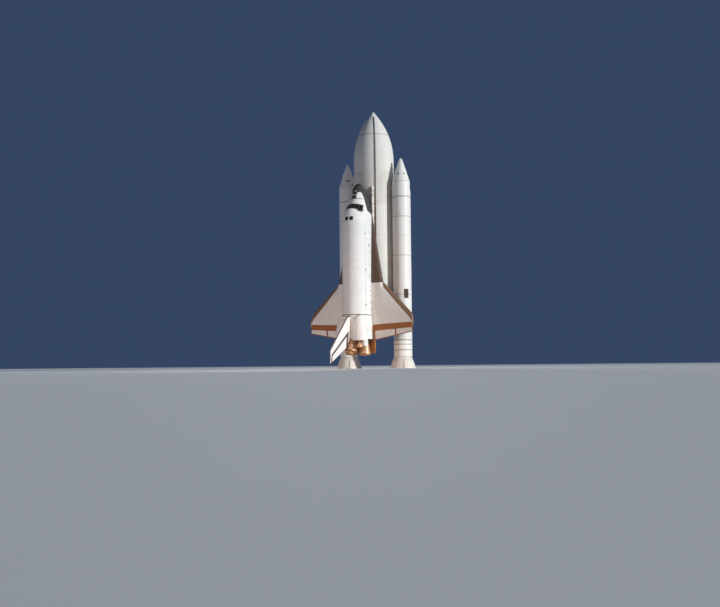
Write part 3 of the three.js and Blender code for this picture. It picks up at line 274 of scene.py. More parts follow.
def pipe(path, radius, cols):
    """A round tube: at each point its ring lies square to the chord of the point's neighbours."""
    chord = np.gradient(path, axis=0)
    chord /= np.linalg.norm(chord, axis=1)[:, None]
    near = np.where(np.abs(chord[:, 2:]) < 0.95, [UP], [[0.3, 1.0, 0]])
    side = np.cross(chord, near)
    side /= np.linalg.norm(side, axis=1)[:, None]
    a = circle(cols)[None, :, None]
    ring = np.cos(a) * side[:, None] + np.sin(a) * np.cross(side, chord)[:, None]
    return solid(path[:, None] + radius * INCH * ring)


print("a turned form of 2 rows has", len(turned(np.zeros(3), UP, [[0, 1], [1, 1]])[1]), "faces")

# %% Blocks


def block(middle, sizes, axes=np.eye(3), bevel=0.15):
    """A block with cut-back edges: four rings of eight points, and the end rings drawn in."""
    half = np.array(sizes, float) / 2
    cut = half.min() * bevel
    u, v = np.repeat([-1, 1, 1, -1], 2), np.repeat([-1, -1, 1, 1], 2)
    first = np.array([1, 0, 0, 1, 1, 0, 0, 1])
    rows = []
    for w, inset in ((-half[2], cut), (cut - half[2], 0), (half[2] - cut, 0), (half[2], cut)):
        x = u * (half[0] - inset - cut * (1 - first))
        rows.append(np.stack([x, v * (half[1] - inset - cut * first), np.full(8, w)], -1))
    return solid(np.array(rows) * INCH @ axes + middle)


def leaning(c, s):
    """Axes for a block that is turned about Z, from the turn's cosine and sine."""
    return np.array([[c, s, 0], [-s, c, 0], UP])


print("a block has", len(block(np.zeros(3), [1, 1, 1])[1]), "faces")


def welded(name, verts, faces, weld):
    """A mesh of quads, with points closer than weld merged and faces turned outwards."""
    mesh = bpy.data.meshes.new(name)
    mesh.vertices.add(len(verts))
    mesh.vertices.foreach_set("co", np.ascontiguousarray(verts, dtype=np.float32).ravel())
    mesh.loops.add(faces.size)
    mesh.loops.foreach_set("vertex_index", np.ascontiguousarray(faces, dtype=np.int32).ravel())
    mesh.polygons.add(len(faces))
    mesh.polygons.foreach_set("loop_start", np.arange(0, faces.size, 4, dtype=np.int32))
    mesh.update(calc_edges=True)
    work = bmesh.new()
    work.from_mesh(mesh)
    bmesh.ops.remove_doubles(work, verts=work.verts, dist=weld)
    bmesh.ops.dissolve_degenerate(work, dist=1e-6, edges=work.edges)
    bmesh.ops.recalc_face_normals(work, faces=work.faces)
    work.to_mesh(mesh)
    work.free()
    return mesh


def add(name, part, material, body="stack", node=None, angle=35, weld=2e-5):
    """A named piece, smooth but for edges sharper than the angle, that rides on a body and may stand for a
    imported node."""
    piece = link(name, welded(name, *part, weld))
    piece.data.shade_smooth()
    piece.data.set_sharp_from_angle(angle=math.radians(angle))
    piece.data.materials.append(material)
    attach(piece, body)
    if node:
        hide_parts(node)
    return piece


print("piece helpers ready")

# %% Cuts and marks


def carve(piece, *cutters):
    """Cut closed forms out of a piece, one after another, and keep the result as its own mesh."""
    for cutter in cutters:
        tool = link("cutter", welded("cutter", *cutter, 1e-5))
        change = piece.modifiers.new("cut", "BOOLEAN")
        change.operation = "DIFFERENCE"
        change.solver = "EXACT"
        change.object = tool
        bpy.context.view_layer.update()
        done = piece.evaluated_get(bpy.context.evaluated_depsgraph_get())
        made = bpy.data.meshes.new_from_object(done)
        piece.modifiers.clear()
        piece.data = made
        made.set_sharp_from_angle(angle=math.radians(35))
        bpy.data.objects.remove(tool)


def mark(piece, name, values):
    """Store one number for each vertex: the distance in inches inside a band's edge, for its finish."""
    layer = piece.data.attributes.new(name, "FLOAT", "POINT")
    layer.data.foreach_set("value", np.ascontiguousarray(values, dtype=np.float32))


def stations(piece):
    """XO, YO and ZO of each vertex of a piece."""
    flat = np.empty(len(piece.data.vertices) * 3, np.float32)
    piece.data.vertices.foreach_get("co", flat)
    x, y, z = flat.reshape(-1, 3).T / INCH
    return FLOOR_XT - XO_TO_XT - z, x, ZERO_ZO_Y - y


def within(x, first, last):
    """How far inside a stretch: the nearer of its two ends, and negative outside."""
    return np.minimum(x - first, last - x)


def nearest(x, places):
    """How far the nearest of some places is."""
    return np.abs(np.subtract.outer(np.asarray(x, float), places)).min(-1)


print("5 lies", within(5, 0, 8), "inside 0 to 8")

# %% [markdown]
# ## Shader groups
# Paint on foam, steel and tiles weathers in the same ways: blotches, streaks that run down, and a fine
# grain. Each material could hold its own nodes for that, but then a change would have to be made in all of
# them. So one group works it out for every material, and another draws the joints between tiles.

# %% Node helpers


def put(tree, kind, inputs=(), **settings):
    """A new shader node. Inputs that are sockets are linked, and others are set as values."""
    node = tree.nodes.new(kind)
    for key, value in settings.items():
        setattr(node, key, value)
    for key, value in dict(inputs).items():
        if isinstance(value, bpy.types.NodeSocket):
            tree.links.new(value, node.inputs[key])
        else:
            node.inputs[key].default_value = value
    return node


def maths(tree, operation, a, b=0.0, clamp=False):
    """One step of arithmetic on two values."""
    return put(tree, "ShaderNodeMath", {0: a, 1: b}, operation=operation, use_clamp=clamp).outputs[0]


def times(tree, a, b):
    """The product of two values."""
    return maths(tree, "MULTIPLY", a, b)


def mix(tree, share, a, b):
    """A colour between a and b."""
    return put(tree, "ShaderNodeMix", {0: share, 6: a, 7: b}, data_type="RGBA").outputs[2]


def noise(tree, vector, scale, detail, rough=0.6):
    """Soft noise from 0 to 1. Each finer step of it is weaker by the factor rough."""
    made = {"Vector": vector, "Scale": scale, "Detail": detail, "Roughness": rough}
    return put(tree, "ShaderNodeTexNoise", made).outputs["Fac"]


def ramp(tree, value, low, high):
    """A value from low to high, stretched to 0 to 1 with soft ends."""
    made = {"Value": value, "From Min": low, "From Max": high, "To Min": 0.0, "To Max": 1.0}
    return put(tree, "ShaderNodeMapRange", made, interpolation_type="SMOOTHSTEP").outputs["Result"]


def group(name, inputs, outputs):
    """An empty shader group: its sockets are made from two tables of name and kind."""
    tree = bpy.data.node_groups.new(name, "ShaderNodeTree")
    for side, table in (("INPUT", inputs), ("OUTPUT", outputs)):
        for label, kind in table.items():
            tree.interface.new_socket(label, in_out=side, socket_type="NodeSocket" + kind)
    return tree, put(tree, "NodeGroupInput").outputs, put(tree, "NodeGroupOutput").inputs


def weather_group():
    """Blotches, streaks along Z and fine grain, as a colour, a roughness share and a height."""
    inputs = {"Vector": "Vector", "Base": "Color", "Stain": "Color", "Share": "Float", "Grain": "Float"}
    tree, given, out = group("weather", inputs, {"Colour": "Color", "Rough": "Float", "Height": "Float"})
    where = given["Vector"]
    drawn_out = put(tree, "ShaderNodeMapping", {"Vector": where, "Scale": (1.0, 1.0, 0.07)}).outputs[0]
    blotch = ramp(tree, noise(tree, where, 0.9, 6.0, 0.65), 0.42, 0.72)
    patch = ramp(tree, noise(tree, where, 5.5, 5.0), 0.45, 0.8)
    streak = ramp(tree, noise(tree, drawn_out, 6.0, 5.0, 0.7), 0.5, 0.82)
    grain = noise(tree, where, given["Grain"], 3.0)
    worn = maths(tree, "ADD", times(tree, blotch, 0.5), times(tree, patch, 0.3))
    worn = maths(tree, "ADD", worn, times(tree, streak, 0.45))
    worn = maths(tree, "MULTIPLY", worn, given["Share"], clamp=True)
    speck = times(tree, ramp(tree, grain, 0.3, 0.7), 0.1)
    stained = maths(tree, "ADD", worn, speck, clamp=True)
    tree.links.new(mix(tree, stained, given["Base"], given["Stain"]), out["Colour"])
    tree.links.new(maths(tree, "ADD", worn, times(tree, grain, 0.3)), out["Rough"])
    tree.links.new(maths(tree, "ADD", grain, times(tree, patch, 0.6)), out["Height"])
    return tree


def tile_group():
    """Joints of a grid of tiles on a flat pair of coordinates, and a tone that each tile has for itself."""
    inputs = {label: "Float" for label in ("U", "V", "Wide", "High", "Joint")}
    tree, given, out = group("tiles", inputs, {"Joint": "Float", "Tone": "Float"})
    near, cells = [], []
    for axis, size in (("U", "Wide"), ("V", "High")):
        cell = maths(tree, "DIVIDE", given[axis], given[size])
        cells.append(maths(tree, "FLOOR", cell))
        from_middle = maths(tree, "ABSOLUTE", maths(tree, "SUBTRACT", maths(tree, "FRACT", cell), 0.5))
        near.append(times(tree, maths(tree, "SUBTRACT", 0.5, from_middle), given[size]))
    share = maths(tree, "DIVIDE", maths(tree, "MINIMUM", *near), given["Joint"])
    tree.links.new(maths(tree, "SUBTRACT", 1.0, ramp(tree, share, 0.3, 1.0)), out["Joint"])
    spot = put(tree, "ShaderNodeCombineXYZ", {0: cells[0], 1: cells[1]}).outputs[0]
    tone = put(tree, "ShaderNodeTexWhiteNoise", {"Vector": spot}, noise_dimensions="2D")
    tree.links.new(tone.outputs["Value"], out["Tone"])
    return tree


WEATHER = weather_group()
TILES = tile_group()
print("shader groups:", WEATHER.name, TILES.name)

# %% [markdown]
# ## Finishes
# A finish is a weathered base colour, with bands of other colours where a piece's own attribute is over
# zero. The attribute is a distance in inches to the band's edge, so that the edge stays sharp without a
# picture. Tiles and quilts get a grid of joints, 6 to 30 inches apart as on the real skins.

# %% Finish function


def finish(name, base, stain, share, rough, grain, bump, metal=0.0, tiles=None, bands=(), sheen=0.5):
    """A material. tiles is (U axis, V axis, wide, high, joint, darkness), in inches, and bands are rows of
    (attribute, colour, roughness). sheen is how strongly a bare surface mirrors."""
    made = bpy.data.materials.new(name)
    made.use_nodes = True
    tree = made.node_tree
    shader = tree.nodes["Principled BSDF"]
    where = put(tree, "ShaderNodeTexCoord").outputs["Object"]
    given = {"Vector": where, "Base": (*base, 1), "Stain": (*stain, 1), "Share": share, "Grain": grain}
    worn = put(tree, "ShaderNodeGroup", given, node_tree=WEATHER).outputs
    colour, height = worn["Colour"], worn["Height"]
    roughness = maths(tree, "ADD", times(tree, worn["Rough"], 0.25), rough - 0.08)
    for attribute, band, band_rough in bands:
        edge = put(tree, "ShaderNodeAttribute", attribute_name=attribute).outputs["Fac"]
        inside = ramp(tree, edge, 0.02, 0.4)
        varied = mix(tree, times(tree, worn["Rough"], 0.1), (*band, 1), (*stain, 1))
        colour = mix(tree, inside, colour, varied)
        values = {0: inside, 2: roughness, 3: band_rough}
        roughness = put(tree, "ShaderNodeMix", values, data_type="FLOAT").outputs[0]
    if tiles:
        axis_u, axis_v, wide, high, joint, dark = tiles
        split = put(tree, "ShaderNodeSeparateXYZ", {0: where}).outputs
        given = {"U": split[axis_u], "V": split[axis_v], "Wide": wide * INCH, "High": high * INCH,
                 "Joint": joint * INCH}
        grid = put(tree, "ShaderNodeGroup", given, node_tree=TILES).outputs
        tone = times(tree, grid["Tone"], dark * 0.5)
        shade = maths(tree, "MAXIMUM", tone, times(tree, grid["Joint"], dark), clamp=True)
        colour = mix(tree, shade, colour, (*(0.5 * np.array(stain)), 1))
        height = maths(tree, "SUBTRACT", height, times(tree, grid["Joint"], 2.0))
    tree.links.new(colour, shader.inputs["Base Color"])
    tree.links.new(maths(tree, "MINIMUM", roughness, 1.0, clamp=True), shader.inputs["Roughness"])
    shader.inputs["Metallic"].default_value = metal
    shader.inputs["Specular IOR Level"].default_value = sheen
    raised = put(tree, "ShaderNodeBump", {"Height": height, "Strength": bump, "Distance": 0.01})
    tree.links.new(raised.outputs[0], shader.inputs["Normal"])
    return made


print("finish function ready")

# %% Finishes of tank, boosters and struts
WHITE = (0.80, 0.80, 0.79)
BLACK = (0.028, 0.026, 0.026)
HOLE = (0.012, 0.011, 0.011)
CARBON = (0.26, 0.165, 0.11)
SCORCHED = (0.33, 0.118, 0.03)
OCHRE = (0.42, 0.37, 0.30)

tank_white = finish("tank_white", (0.72, 0.71, 0.675), OCHRE, 0.30, 0.75, 90.0, 0.35,
                    bands=[("seam", (0.20, 0.18, 0.16), 0.8)])
tank_warm = finish("tank_warm", (0.69, 0.67, 0.63), (0.42, 0.35, 0.28), 0.50, 0.75, 90.0, 0.35)
line_white = finish("line_white", (0.82, 0.81, 0.78), (0.55, 0.48, 0.40), 0.35, 0.6, 70.0, 0.25)
tray_dark = finish("tray_dark", (0.060, 0.042, 0.034), (0.17, 0.10, 0.07), 0.8, 0.7, 60.0, 0.3)
foam_tan = finish("foam_tan", (0.42, 0.25, 0.14), (0.16, 0.09, 0.06), 0.7, 0.85, 60.0, 0.5)
# booster_white's brown band is painted shade, warmed as painted light from below, on the sides of the
# stiffening rings and the kick ring.
booster_white = finish("booster_white", (0.80, 0.795, 0.775), (0.45, 0.41, 0.35),
                       0.22, 0.48, 60.0, 0.08, sheen=0.3,
                       bands=[("seam", (0.20, 0.19, 0.18), 0.6), ("brown", (0.17, 0.105, 0.06), 0.6),
                              ("patch", (0.045, 0.032, 0.026), 0.7)])
skirt_white = finish("skirt_white", (0.74, 0.72, 0.68), (0.36, 0.27, 0.19),
                     0.55, 0.55, 60.0, 0.12, bands=[("seam", (0.20, 0.17, 0.15), 0.6)])
strut_grey = finish("strut_grey", (0.55, 0.54, 0.51), (0.22, 0.17, 0.13), 0.6, 0.5, 50.0, 0.15)
nozzle_char = finish("nozzle_char", (0.075, 0.062, 0.055), (0.19, 0.14, 0.10),
                     0.8, 0.75, 35.0, 0.35)

# %% Finishes of the orbiter
# white_tile's dark band is the aft body's lower side: dark tiles, with painted shade and warm painted light
# in its brown.
white_tile = finish("white_tile", WHITE, (0.50, 0.47, 0.43), 0.20, 0.62, 50.0, 0.10,
                    tiles=(0, 2, 8, 8, 0.35, 0.22), sheen=0.2,
                    bands=[("dark", (0.13, 0.078, 0.05), 0.6), ("black", BLACK, 0.55), ("port", HOLE, 0.8)])
white_quilt = finish("white_quilt", (0.77, 0.785, 0.79), (0.52, 0.49, 0.45),
                     0.16, 0.8, 50.0, 0.2, tiles=(0, 2, 30, 30, 0.5, 0.16), sheen=0.2,
                     bands=[("black", BLACK, 0.55), ("port", HOLE, 0.8)])
# The wings' and elevons' black band is black tiles, lightened and tinted brown as warm painted light from
# below.
wing_tile = finish("wing_tile", (0.78, 0.775, 0.76), (0.50, 0.44, 0.38), 0.26, 0.66, 50.0, 0.10,
                   tiles=(0, 2, 8, 8, 0.35, 0.22), sheen=0.2,
                   bands=[("black", (0.09, 0.053, 0.036), 0.55), ("dark", SCORCHED, 0.6),
                          ("grey", CARBON, 0.45)])
fin_tile = finish("fin_tile", (0.79, 0.785, 0.775), (0.50, 0.44, 0.38), 0.24, 0.66, 50.0, 0.10,
                  tiles=(1, 2, 8, 8, 0.35, 0.22), bands=[("dark", (0.085, 0.052, 0.038), 0.55)], sheen=0.2)
# brown_tile's orange brown on the shelf and the body flap is warm painted light from below.
brown_tile = finish("brown_tile", (0.42, 0.18, 0.055), (0.34, 0.17, 0.07), 0.5, 0.6, 50.0, 0.12,
                    tiles=(0, 2, 6, 6, 0.3, 0.4), sheen=0.2)
nose_carbon = finish("nose_carbon", (0.020, 0.019, 0.020), (0.05, 0.046, 0.044),
                     0.4, 0.6, 40.0, 0.08, sheen=0.2)
carbon_grey = finish("carbon_grey", (0.20, 0.12, 0.075), (0.25, 0.17, 0.115),
                     0.5, 0.5, 40.0, 0.08, sheen=0.25)
# bell_metal's orange is partly the bells' own metal tone and partly warm painted light from below.
bell_metal = finish("bell_metal", (0.80, 0.47, 0.25), (0.42, 0.22, 0.11),
                    0.6, 0.45, 60.0, 0.12, metal=0.35)
pipe_metal = finish("pipe_metal", (0.42, 0.36, 0.30), (0.16, 0.11, 0.08),
                    0.6, 0.35, 60.0, 0.1, metal=0.9)
radiator = finish("radiator", (0.72, 0.73, 0.74), (0.45, 0.45, 0.46), 0.2, 0.22, 30.0, 0.05,
                  metal=0.75, tiles=(0, 2, 12, 90, 0.6, 0.5))
bay_cloth = finish("bay_cloth", (0.66, 0.65, 0.61), OCHRE, 0.4, 0.85, 80.0, 0.35,
                   tiles=(0, 2, 24, 30, 0.6, 0.3))
recess_dark = finish("recess_dark", (0.030, 0.026, 0.024), (0.10, 0.07, 0.05),
                     0.6, 0.8, 40.0, 0.2)
glass = finish("window_glass", (0.010, 0.012, 0.015), (0.04, 0.045, 0.05),
               0.3, 0.10, 25.0, 0.01)

# %% [markdown]
# ## External tank
# The tank is a thin metal shell under sprayed foam, and the welds between its barrels show as fine rings.
# A curve with a Screw modifier could turn it, but then each groove would need its own points. Here a
# function gives the radius at any station, so the rows stand closer just where a groove needs them.

# %% Tank skins
TANK_TIP, TANK_CAP, TANK_BARREL = 322.5, 371.0, 744.6
INTERTANK = (852.8, 1123.2)
TANK_DOME, TANK_END = 2058.0, 2173.0
OGIVE_R = 613.0
OXYGEN_SEAMS = [536.0]
HYDROGEN_SEAMS = [1130.0, 1377.0, 1623.0, 1871.0, TANK_DOME]


def ogive(xt):
    """The arc of a large circle that narrows the tank ahead of its barrel."""
    return TANK_R - OGIVE_R + np.sqrt(OGIVE_R**2 - np.clip(TANK_BARREL - xt, 0, OGIVE_R) ** 2)


def tank_radius(xt):
    """The tank's radius: a cone at the tip, the ogive, a cylinder, and a quarter ellipse."""
    xt = np.asarray(xt, float)
    tip = np.interp(xt, [TANK_TIP, 323.2, 324.5, 327, TANK_CAP], [0.3, 2.6, 4, 6.2, ogive(TANK_CAP)])
    down = (xt - TANK_DOME) / (TANK_END - TANK_DOME)
    dome = TANK_R * np.sqrt(np.clip(1 - down**2, 1e-6, None))
    return np.where(xt < TANK_CAP, tip, np.where(xt > TANK_DOME, dome, ogive(xt)))


def near_seams(first, last, seams, half, step):
    """Stations a step apart, with closer ones at each seam."""
    close = np.add.outer(seams, np.array([-2, -1.001, -1, -0.5, 0, 0.5, 1, 1.001, 2]) * half).ravel()
    many = np.concatenate([np.linspace(first, last, int((last - first) / step) + 2), close])
    return np.unique(np.round(many[(many >= first) & (many <= last)], 3))


def tank_skin(node, xt, seams, half, deep):
    """A stretch of tank: its radius dips by deep x (1 - (distance / half)^2) at each seam."""
    groove = deep * np.clip(1 - (nearest(xt, seams) / half) ** 2, 0, None)
    rings = tank(np.degrees(circle(160)), (tank_radius(xt) - groove)[:, None], xt[:, None])
    piece = add(node + "_skin", solid(rings), tank_white, node=node)
    mark(piece, "seam", half - nearest(stations(piece)[0] + XO_TO_XT, seams))


fore_xt = near_seams(372, INTERTANK[0] - 0.3, OXYGEN_SEAMS, 2.2, 9)
tank_skin("oxygen_tank", np.concatenate([[TANK_TIP, 323.2, 324.5, 327, 340, 371, 371.4], fore_xt]),
          OXYGEN_SEAMS, 2.2, 0.5)
aft_xt = near_seams(INTERTANK[1] + 0.3, TANK_DOME, HYDROGEN_SEAMS, 0.5, 40)
dome_xt = TANK_DOME + (TANK_END - TANK_DOME) * np.sin(np.linspace(0, math.pi / 2, 30))
tank_skin("hydrogen_tank", np.unique(np.concatenate([aft_xt, dome_xt])), HYDROGEN_SEAMS, 0.5, 0.3)

# %% [markdown]
# ## Intertank
# This stretch is a ribbed skin and not a tank, because it carries the boosters' thrust. The 108 ribs could
# be an array of strips, but as waves of the radius they stay one closed skin, and they can fade at both ends
# and at the two pads that the boosters' forward fittings bear on.

# %% Intertank
RIBS = 108
PAD_XT = 985.5
DOOR_ANGLE = -38
FITTING = [[0, 0.2], [0, 7], [5, 7], [7, 5], [7, 0.2]]


def intertank():
    """Radius = tank radius + rib height x (0.5 + 0.5 cos(108 a))^2, faded out at both ends and the pads."""
    ends = [INTERTANK[0], 855, 860, 866, 1110, 1116, 1121, INTERTANK[1]]
    xt = np.unique(np.concatenate([ends, np.linspace(866, 1110, 22)]))
    a = np.degrees(circle(RIBS * 8))
    wave = (0.5 + 0.5 * np.cos(np.radians(a) * RIBS)) ** 2
    end = np.clip(within(xt, 855, 1121) / 8, 0, 1)
    pad = np.clip((np.abs(np.abs((a + 180) % 360 - 180) - 90) - 12) / 3, 0.25, 1)
    belts = 0.36 * np.exp(-(nearest(xt, [920.0, PAD_XT, 1050.0]) / 1.5) ** 2)
    radius = TANK_R + 1.3 * end[:, None] * (wave * pad) + belts[:, None]
    parts = [solid(tank(a, radius, xt[:, None]))]
    for side, word in SIDES:
        middle = tank(0, 0, PAD_XT) + np.array([side * 168.5 * INCH, 0, 0])
        parts.append(block(middle, [17.5, 26, 37], bevel=0.08))
        for up in (-12, 12):
            parts.append(turned(middle + np.array([side * 1.5, 0, up]) * INCH, (side, 0, 0), FITTING, 24))
    turn = math.radians(DOOR_ANGLE)
    door = tank(DOOR_ANGLE, TANK_R + 1.2, 1060)
    parts.append(block(door, [46, 1.8, 50], leaning(math.cos(turn), math.sin(turn)), 0.3))
    return merged(*parts)


add("intertank_ribs", intertank(), tank_warm, node="intertank")
print("intertank ribs:", RIBS)

# %% [markdown]
# ## Lines along the tank
# A bright oxygen pipe stands on brackets, a dark cable tray runs beside it from the tip, and a gas line
# runs on the other side. Curves with a bevel could make them, but they have to follow the tank's outline.
# So their points come from its radius function, and the small covers over joints are pulses in their height.

# %% Cable tray and pressure line
LINE_ANGLE = 23.0
TRAY_ANGLE = 31.5
CROWN = 0.35


def strip(angle, xt, height, width):
    """A long low strip: its section is a flat-topped hump, width across and height out, at each station."""
    out = np.array([-0.6, 0.55, 1.0, 1.0, 0.55, -0.6])
    side = np.array([-0.5, -0.5, -0.5 + CROWN / 3, 0.5 - CROWN / 3, 0.5, 0.5])
    radius = tank_radius(xt)[:, None] + np.outer(height, out)
    across = np.outer(width, side)
    a = math.radians(angle)
    x = radius * math.sin(a) + across * math.cos(a)
    return solid(points(x, TANK_Y - radius * math.cos(a) + across * math.sin(a), FLOOR_XT - xt[:, None]))


def pulse(x, pitch, share):
    """1 over a share of each pitch and 0 elsewhere, with steep sides."""
    return np.clip((share / 2 - np.abs((x / pitch) % 1 - 0.5)) * pitch / 1.2 + 0.5, 0, 1)


tray_xt = np.concatenate([np.linspace(376, 744, 60), np.arange(748, 2026, 2.0)])
lifted = 0.9 * np.where(tray_xt > 1000, pulse(tray_xt, 24.0, 0.45), 0)
add("cable_tray", strip(TRAY_ANGLE, tray_xt, 6.0 + lifted, 8.0 + lifted), tray_dark, node="cable_tray_right")
press_xt = np.concatenate([np.linspace(380, 744, 40), [980.0]])
add("pressure_line", strip(TRAY_ANGLE - 3.6, press_xt, np.full(41, 2.4), np.full(41, 2.6)), line_white)
print("tray stations:", len(tray_xt))

# %% Oxygen pipe
PIPE_R = 9.5
PIPE_OUT = TANK_R + PIPE_R + 5

bend = np.radians(np.linspace(0, 90, 8))
entry = tank(LINE_ANGLE, 150 + (PIPE_OUT - 150) * np.sin(bend), 985 + 22 * (1 - np.cos(bend)))
run = tank(LINE_ANGLE, PIPE_OUT, np.linspace(1012, 1990, 60))
outlet = points(70, TANK_Y - 188, FLOOR_XT - 2040)
leave = run[-1] + (outlet - run[-1]) * np.linspace(0.15, 1, 8)[:, None]
route = np.concatenate([entry, run, leave])
add("oxygen_pipe", pipe(route, PIPE_R, 32), line_white, node="oxygen_feed_line")

wave = np.linspace(-9, 9, 46)
folds = np.stack([wave, PIPE_R - 0.2 + 0.75 * np.abs(np.sin(wave * math.pi / 3))], 1).tolist()
bellows = [turned(tank(LINE_ANGLE, PIPE_OUT, xt), DOWN, [[-9, 0.2], *folds, [9, 0.2]])
           for xt in (1024, 1060, 1500, 1536, 1960, 1984)]
add("pipe_bellows", merged(*bellows), strut_grey)

radial = np.array([math.sin(math.radians(LINE_ANGLE)), -math.cos(math.radians(LINE_ANGLE)), 0])
side = np.array([-radial[1], radial[0], 0])
line_axes = np.array([side, radial, UP])
brackets = []
for xt in np.linspace(1130, 1950, 15):
    brackets.append(drum(tank(LINE_ANGLE, PIPE_OUT, xt), DOWN, -1.6, 1.6, 10.6, 32))
    for across in (-7.6, 7.6):
        middle = tank(LINE_ANGLE, TANK_R + 3.6, xt) + side * across * INCH
        brackets.append(block(middle, [2.2, 13, 3.4], line_axes))
    brackets.append(block(tank(LINE_ANGLE + 5.3, TANK_R + 2.4, xt), [12, 4.6, 6], line_axes))
add("pipe_brackets", merged(*brackets), foam_tan)
print("oxygen pipe:", len(route), "points,", len(bellows), "bellows")

# %% Gas line
gas_xt = np.arange(1126, 2027, 2.5)
lifted = 1.2 * pulse(gas_xt, 30.0, 0.3)
add("gas_line", strip(-TRAY_ANGLE, gas_xt, 3.6 + lifted, 4.6 + lifted), line_white, node="gas_line_left")
print("gas line stations:", len(gas_xt))

# %% [markdown]
# ## Struts between tank, boosters and orbiter
# Round bars of forged metal hold the stack together, swollen at both ends where a pin goes through. Each
# could be modelled by hand, but one turned profile, stretched to each bar's length, gives them all. Blocks
# with cut-back edges stand for the fittings.

# %% Struts
AFT_Y = -197.5
ALONG = np.array([0, 0.001, 0.06, 0.09, 0.12, 0.5, 0.88, 0.91, 0.94, 0.999, 1])
SWELL = np.array([0.3, 1.15, 1.15, 0.65, 1, 1, 1, 0.65, 1.15, 1.15, 0.3])
SOCKET = [[8, 0.3], [8, 5], [13, 5], [14, 3], [14, 0.3]]


def strut(start, end, radius):
    """A bar with a slim neck and a swollen boss at both ends: radius x a fixed profile along its length."""
    length = np.linalg.norm(end - start) / INCH
    return turned(start, end - start, np.stack([ALONG * length, SWELL * radius], 1), 24)


def at(x, y, xt):
    """A point from the tank's axis: across, towards its far side, and down."""
    return points(x, TANK_Y + y, FLOOR_XT - xt)


bipod = [strut(at(s * 50, -154, 1152), at(s * 6, -208, 1130), 4.2) for s in (1, -1)]
bipod.append(block(at(0, -210, 1130), [18, 11, 14]))
bipod += [block(at(s * 50, -158, 1154), [20, 12, 26], bevel=0.5) for s in (1, -1)]
add("bipod_struts", merged(*bipod), strut_grey, node="forward_bipod")

bars = [strut(at(-94, AFT_Y, 2058), at(94, AFT_Y, 2058), 6.8),
        strut(at(-112, -116, 2056), at(90, AFT_Y + 3, 2058), 4.3)]
plates = []
for s, word in SIDES:
    corner = at(s * 94, AFT_Y, 2058)
    bars += [strut(at(s * 112, -118, 2056), corner, 5.8), strut(at(s * 109, -121, 1880), corner, 6.3)]
    bars += [block(at(s * 94, AFT_Y - 2, 2059), [20, 15, 22]),
             block(at(s * 110, -124, 1884), [18, 14, 20], bevel=0.4)]
    bars.append(turned(at(s * 94, AFT_Y - 3, 2059), (s, 0, 0), SOCKET, 20))
    plates.append(block(at(s * 68, -179, 2060), [36, 54, 52], bevel=0.12))
    plates += [block(at(s * 68, -179, xt), [38.4, 55, 2.6], bevel=0.2) for xt in (2042, 2060, 2078)]
    for k, degrees in enumerate((13.5, 16.0, 18.5)):
        start = at(s * (54 + 5 * k), -168, 2034)
        rise = tank(s * degrees, TANK_R + 2.4, np.linspace(2014, 1940, 8))
        knee = start * 0.45 + rise[0] * 0.55 + [0, -0.03, 0]
        plates.append(pipe(np.concatenate([[start, knee], rise]), 1.9, 12))
add("aft_struts", merged(*bars), strut_grey, node="aft_attach_frame")
add("umbilical_plates", merged(*plates), foam_tan)

for side, word in SIDES:
    bars = [strut(at(side * 136, y * 0.97, 2054), at(side * 206, y * 0.64, 2054), 4.3) for y in (100, -100)]
    bars.append(strut(at(side * 172, -80, 2054), at(side * 172, 80, 2054), 3.2))
    bars += [block(at(side * 172, y, 2054), [10, 9, 10]) for y in (-82, 82)]
    add("struts_" + word, merged(*bars), strut_grey, node="booster_%s_struts" % word)
print("struts done")

# %% [markdown]
# ## Boosters
# Steel cases in stacked segments. Grey rings show at the factory joints and the pinned field joints, and
# the lowest segment carries stiffening rings. The rings could be separate hoops, but then they would cut
# through the case. As steps in one radius function they are part of its closed skin.

# %% Booster outlines
CONE_END, SKIRT_TOP, KICK = 398.0, 523.9, 1837.0
FIELD_JOINTS = [851.5, 1171.5, 1491.5]
FACTORY_JOINTS = [531.5, 691.5, 1011.5, 1331.5]
STIFFENERS = [1702.0, 1737.0, 1783.0]
JOINT_HALF = 2.8
LOW_BANDS = [(j, 0.45) for j in FACTORY_JOINTS] + [(j - 8, 0.9) for j in FIELD_JOINTS]
RINGS = [(j, 1.5, 3.0) for j in STIFFENERS] + [(1511.0, 7.0, 4.0)]
PATCH_XB, PATCH_ANGLE = 1326, 54
PATCH_ROWS = [1287.5, 1288.7, 1363.3, 1364.5]
MOTORS = {1: [(2, 337), (54, 337)], -1: [(-20, 350), (-39, 350), (-62, 380)]}


def case_radius(xb):
    """The case: its radius, plus low bands at the joints, plus flat-topped rings on the lowest segment."""
    radius = np.full(np.shape(xb), BOOSTER_R)
    for joint, out in LOW_BANDS:
        radius += out * np.clip((JOINT_HALF - np.abs(xb - joint)) / 0.8, 0, 1)
    for middle, half, out in RINGS:
        radius += out * np.clip((half - np.abs(xb - middle)) / 0.5, 0, 1)
    return radius


def case(side, first, last):
    """A stretch of case, with a row at each corner of its rings."""
    rows = [(j, JOINT_HALF) for j, out in LOW_BANDS] + [row[:2] for row in RINGS]
    corners = [(j, k) for j, half in rows for k in (half + 0.01, half, half - 0.5, half - 0.8, 0)]
    close = [j + s * k for j, k in corners for s in (-1, 1)]
    many = np.concatenate([np.linspace(first, last, 14), close, PATCH_ROWS])
    xb = np.unique(np.round(many[(many >= first) & (many <= last)], 3))
    return booster_turned(side, case_radius(xb), xb)


def booster_turned(side, radius, xb, cols=128, ends=True):
    """A booster part: its radius carried round its axis, row by row."""
    radius, xb = np.reshape(radius, (-1, 1)), np.reshape(xb, (-1, 1))
    return solid(booster(side, np.degrees(circle(cols)), radius, xb), ends)


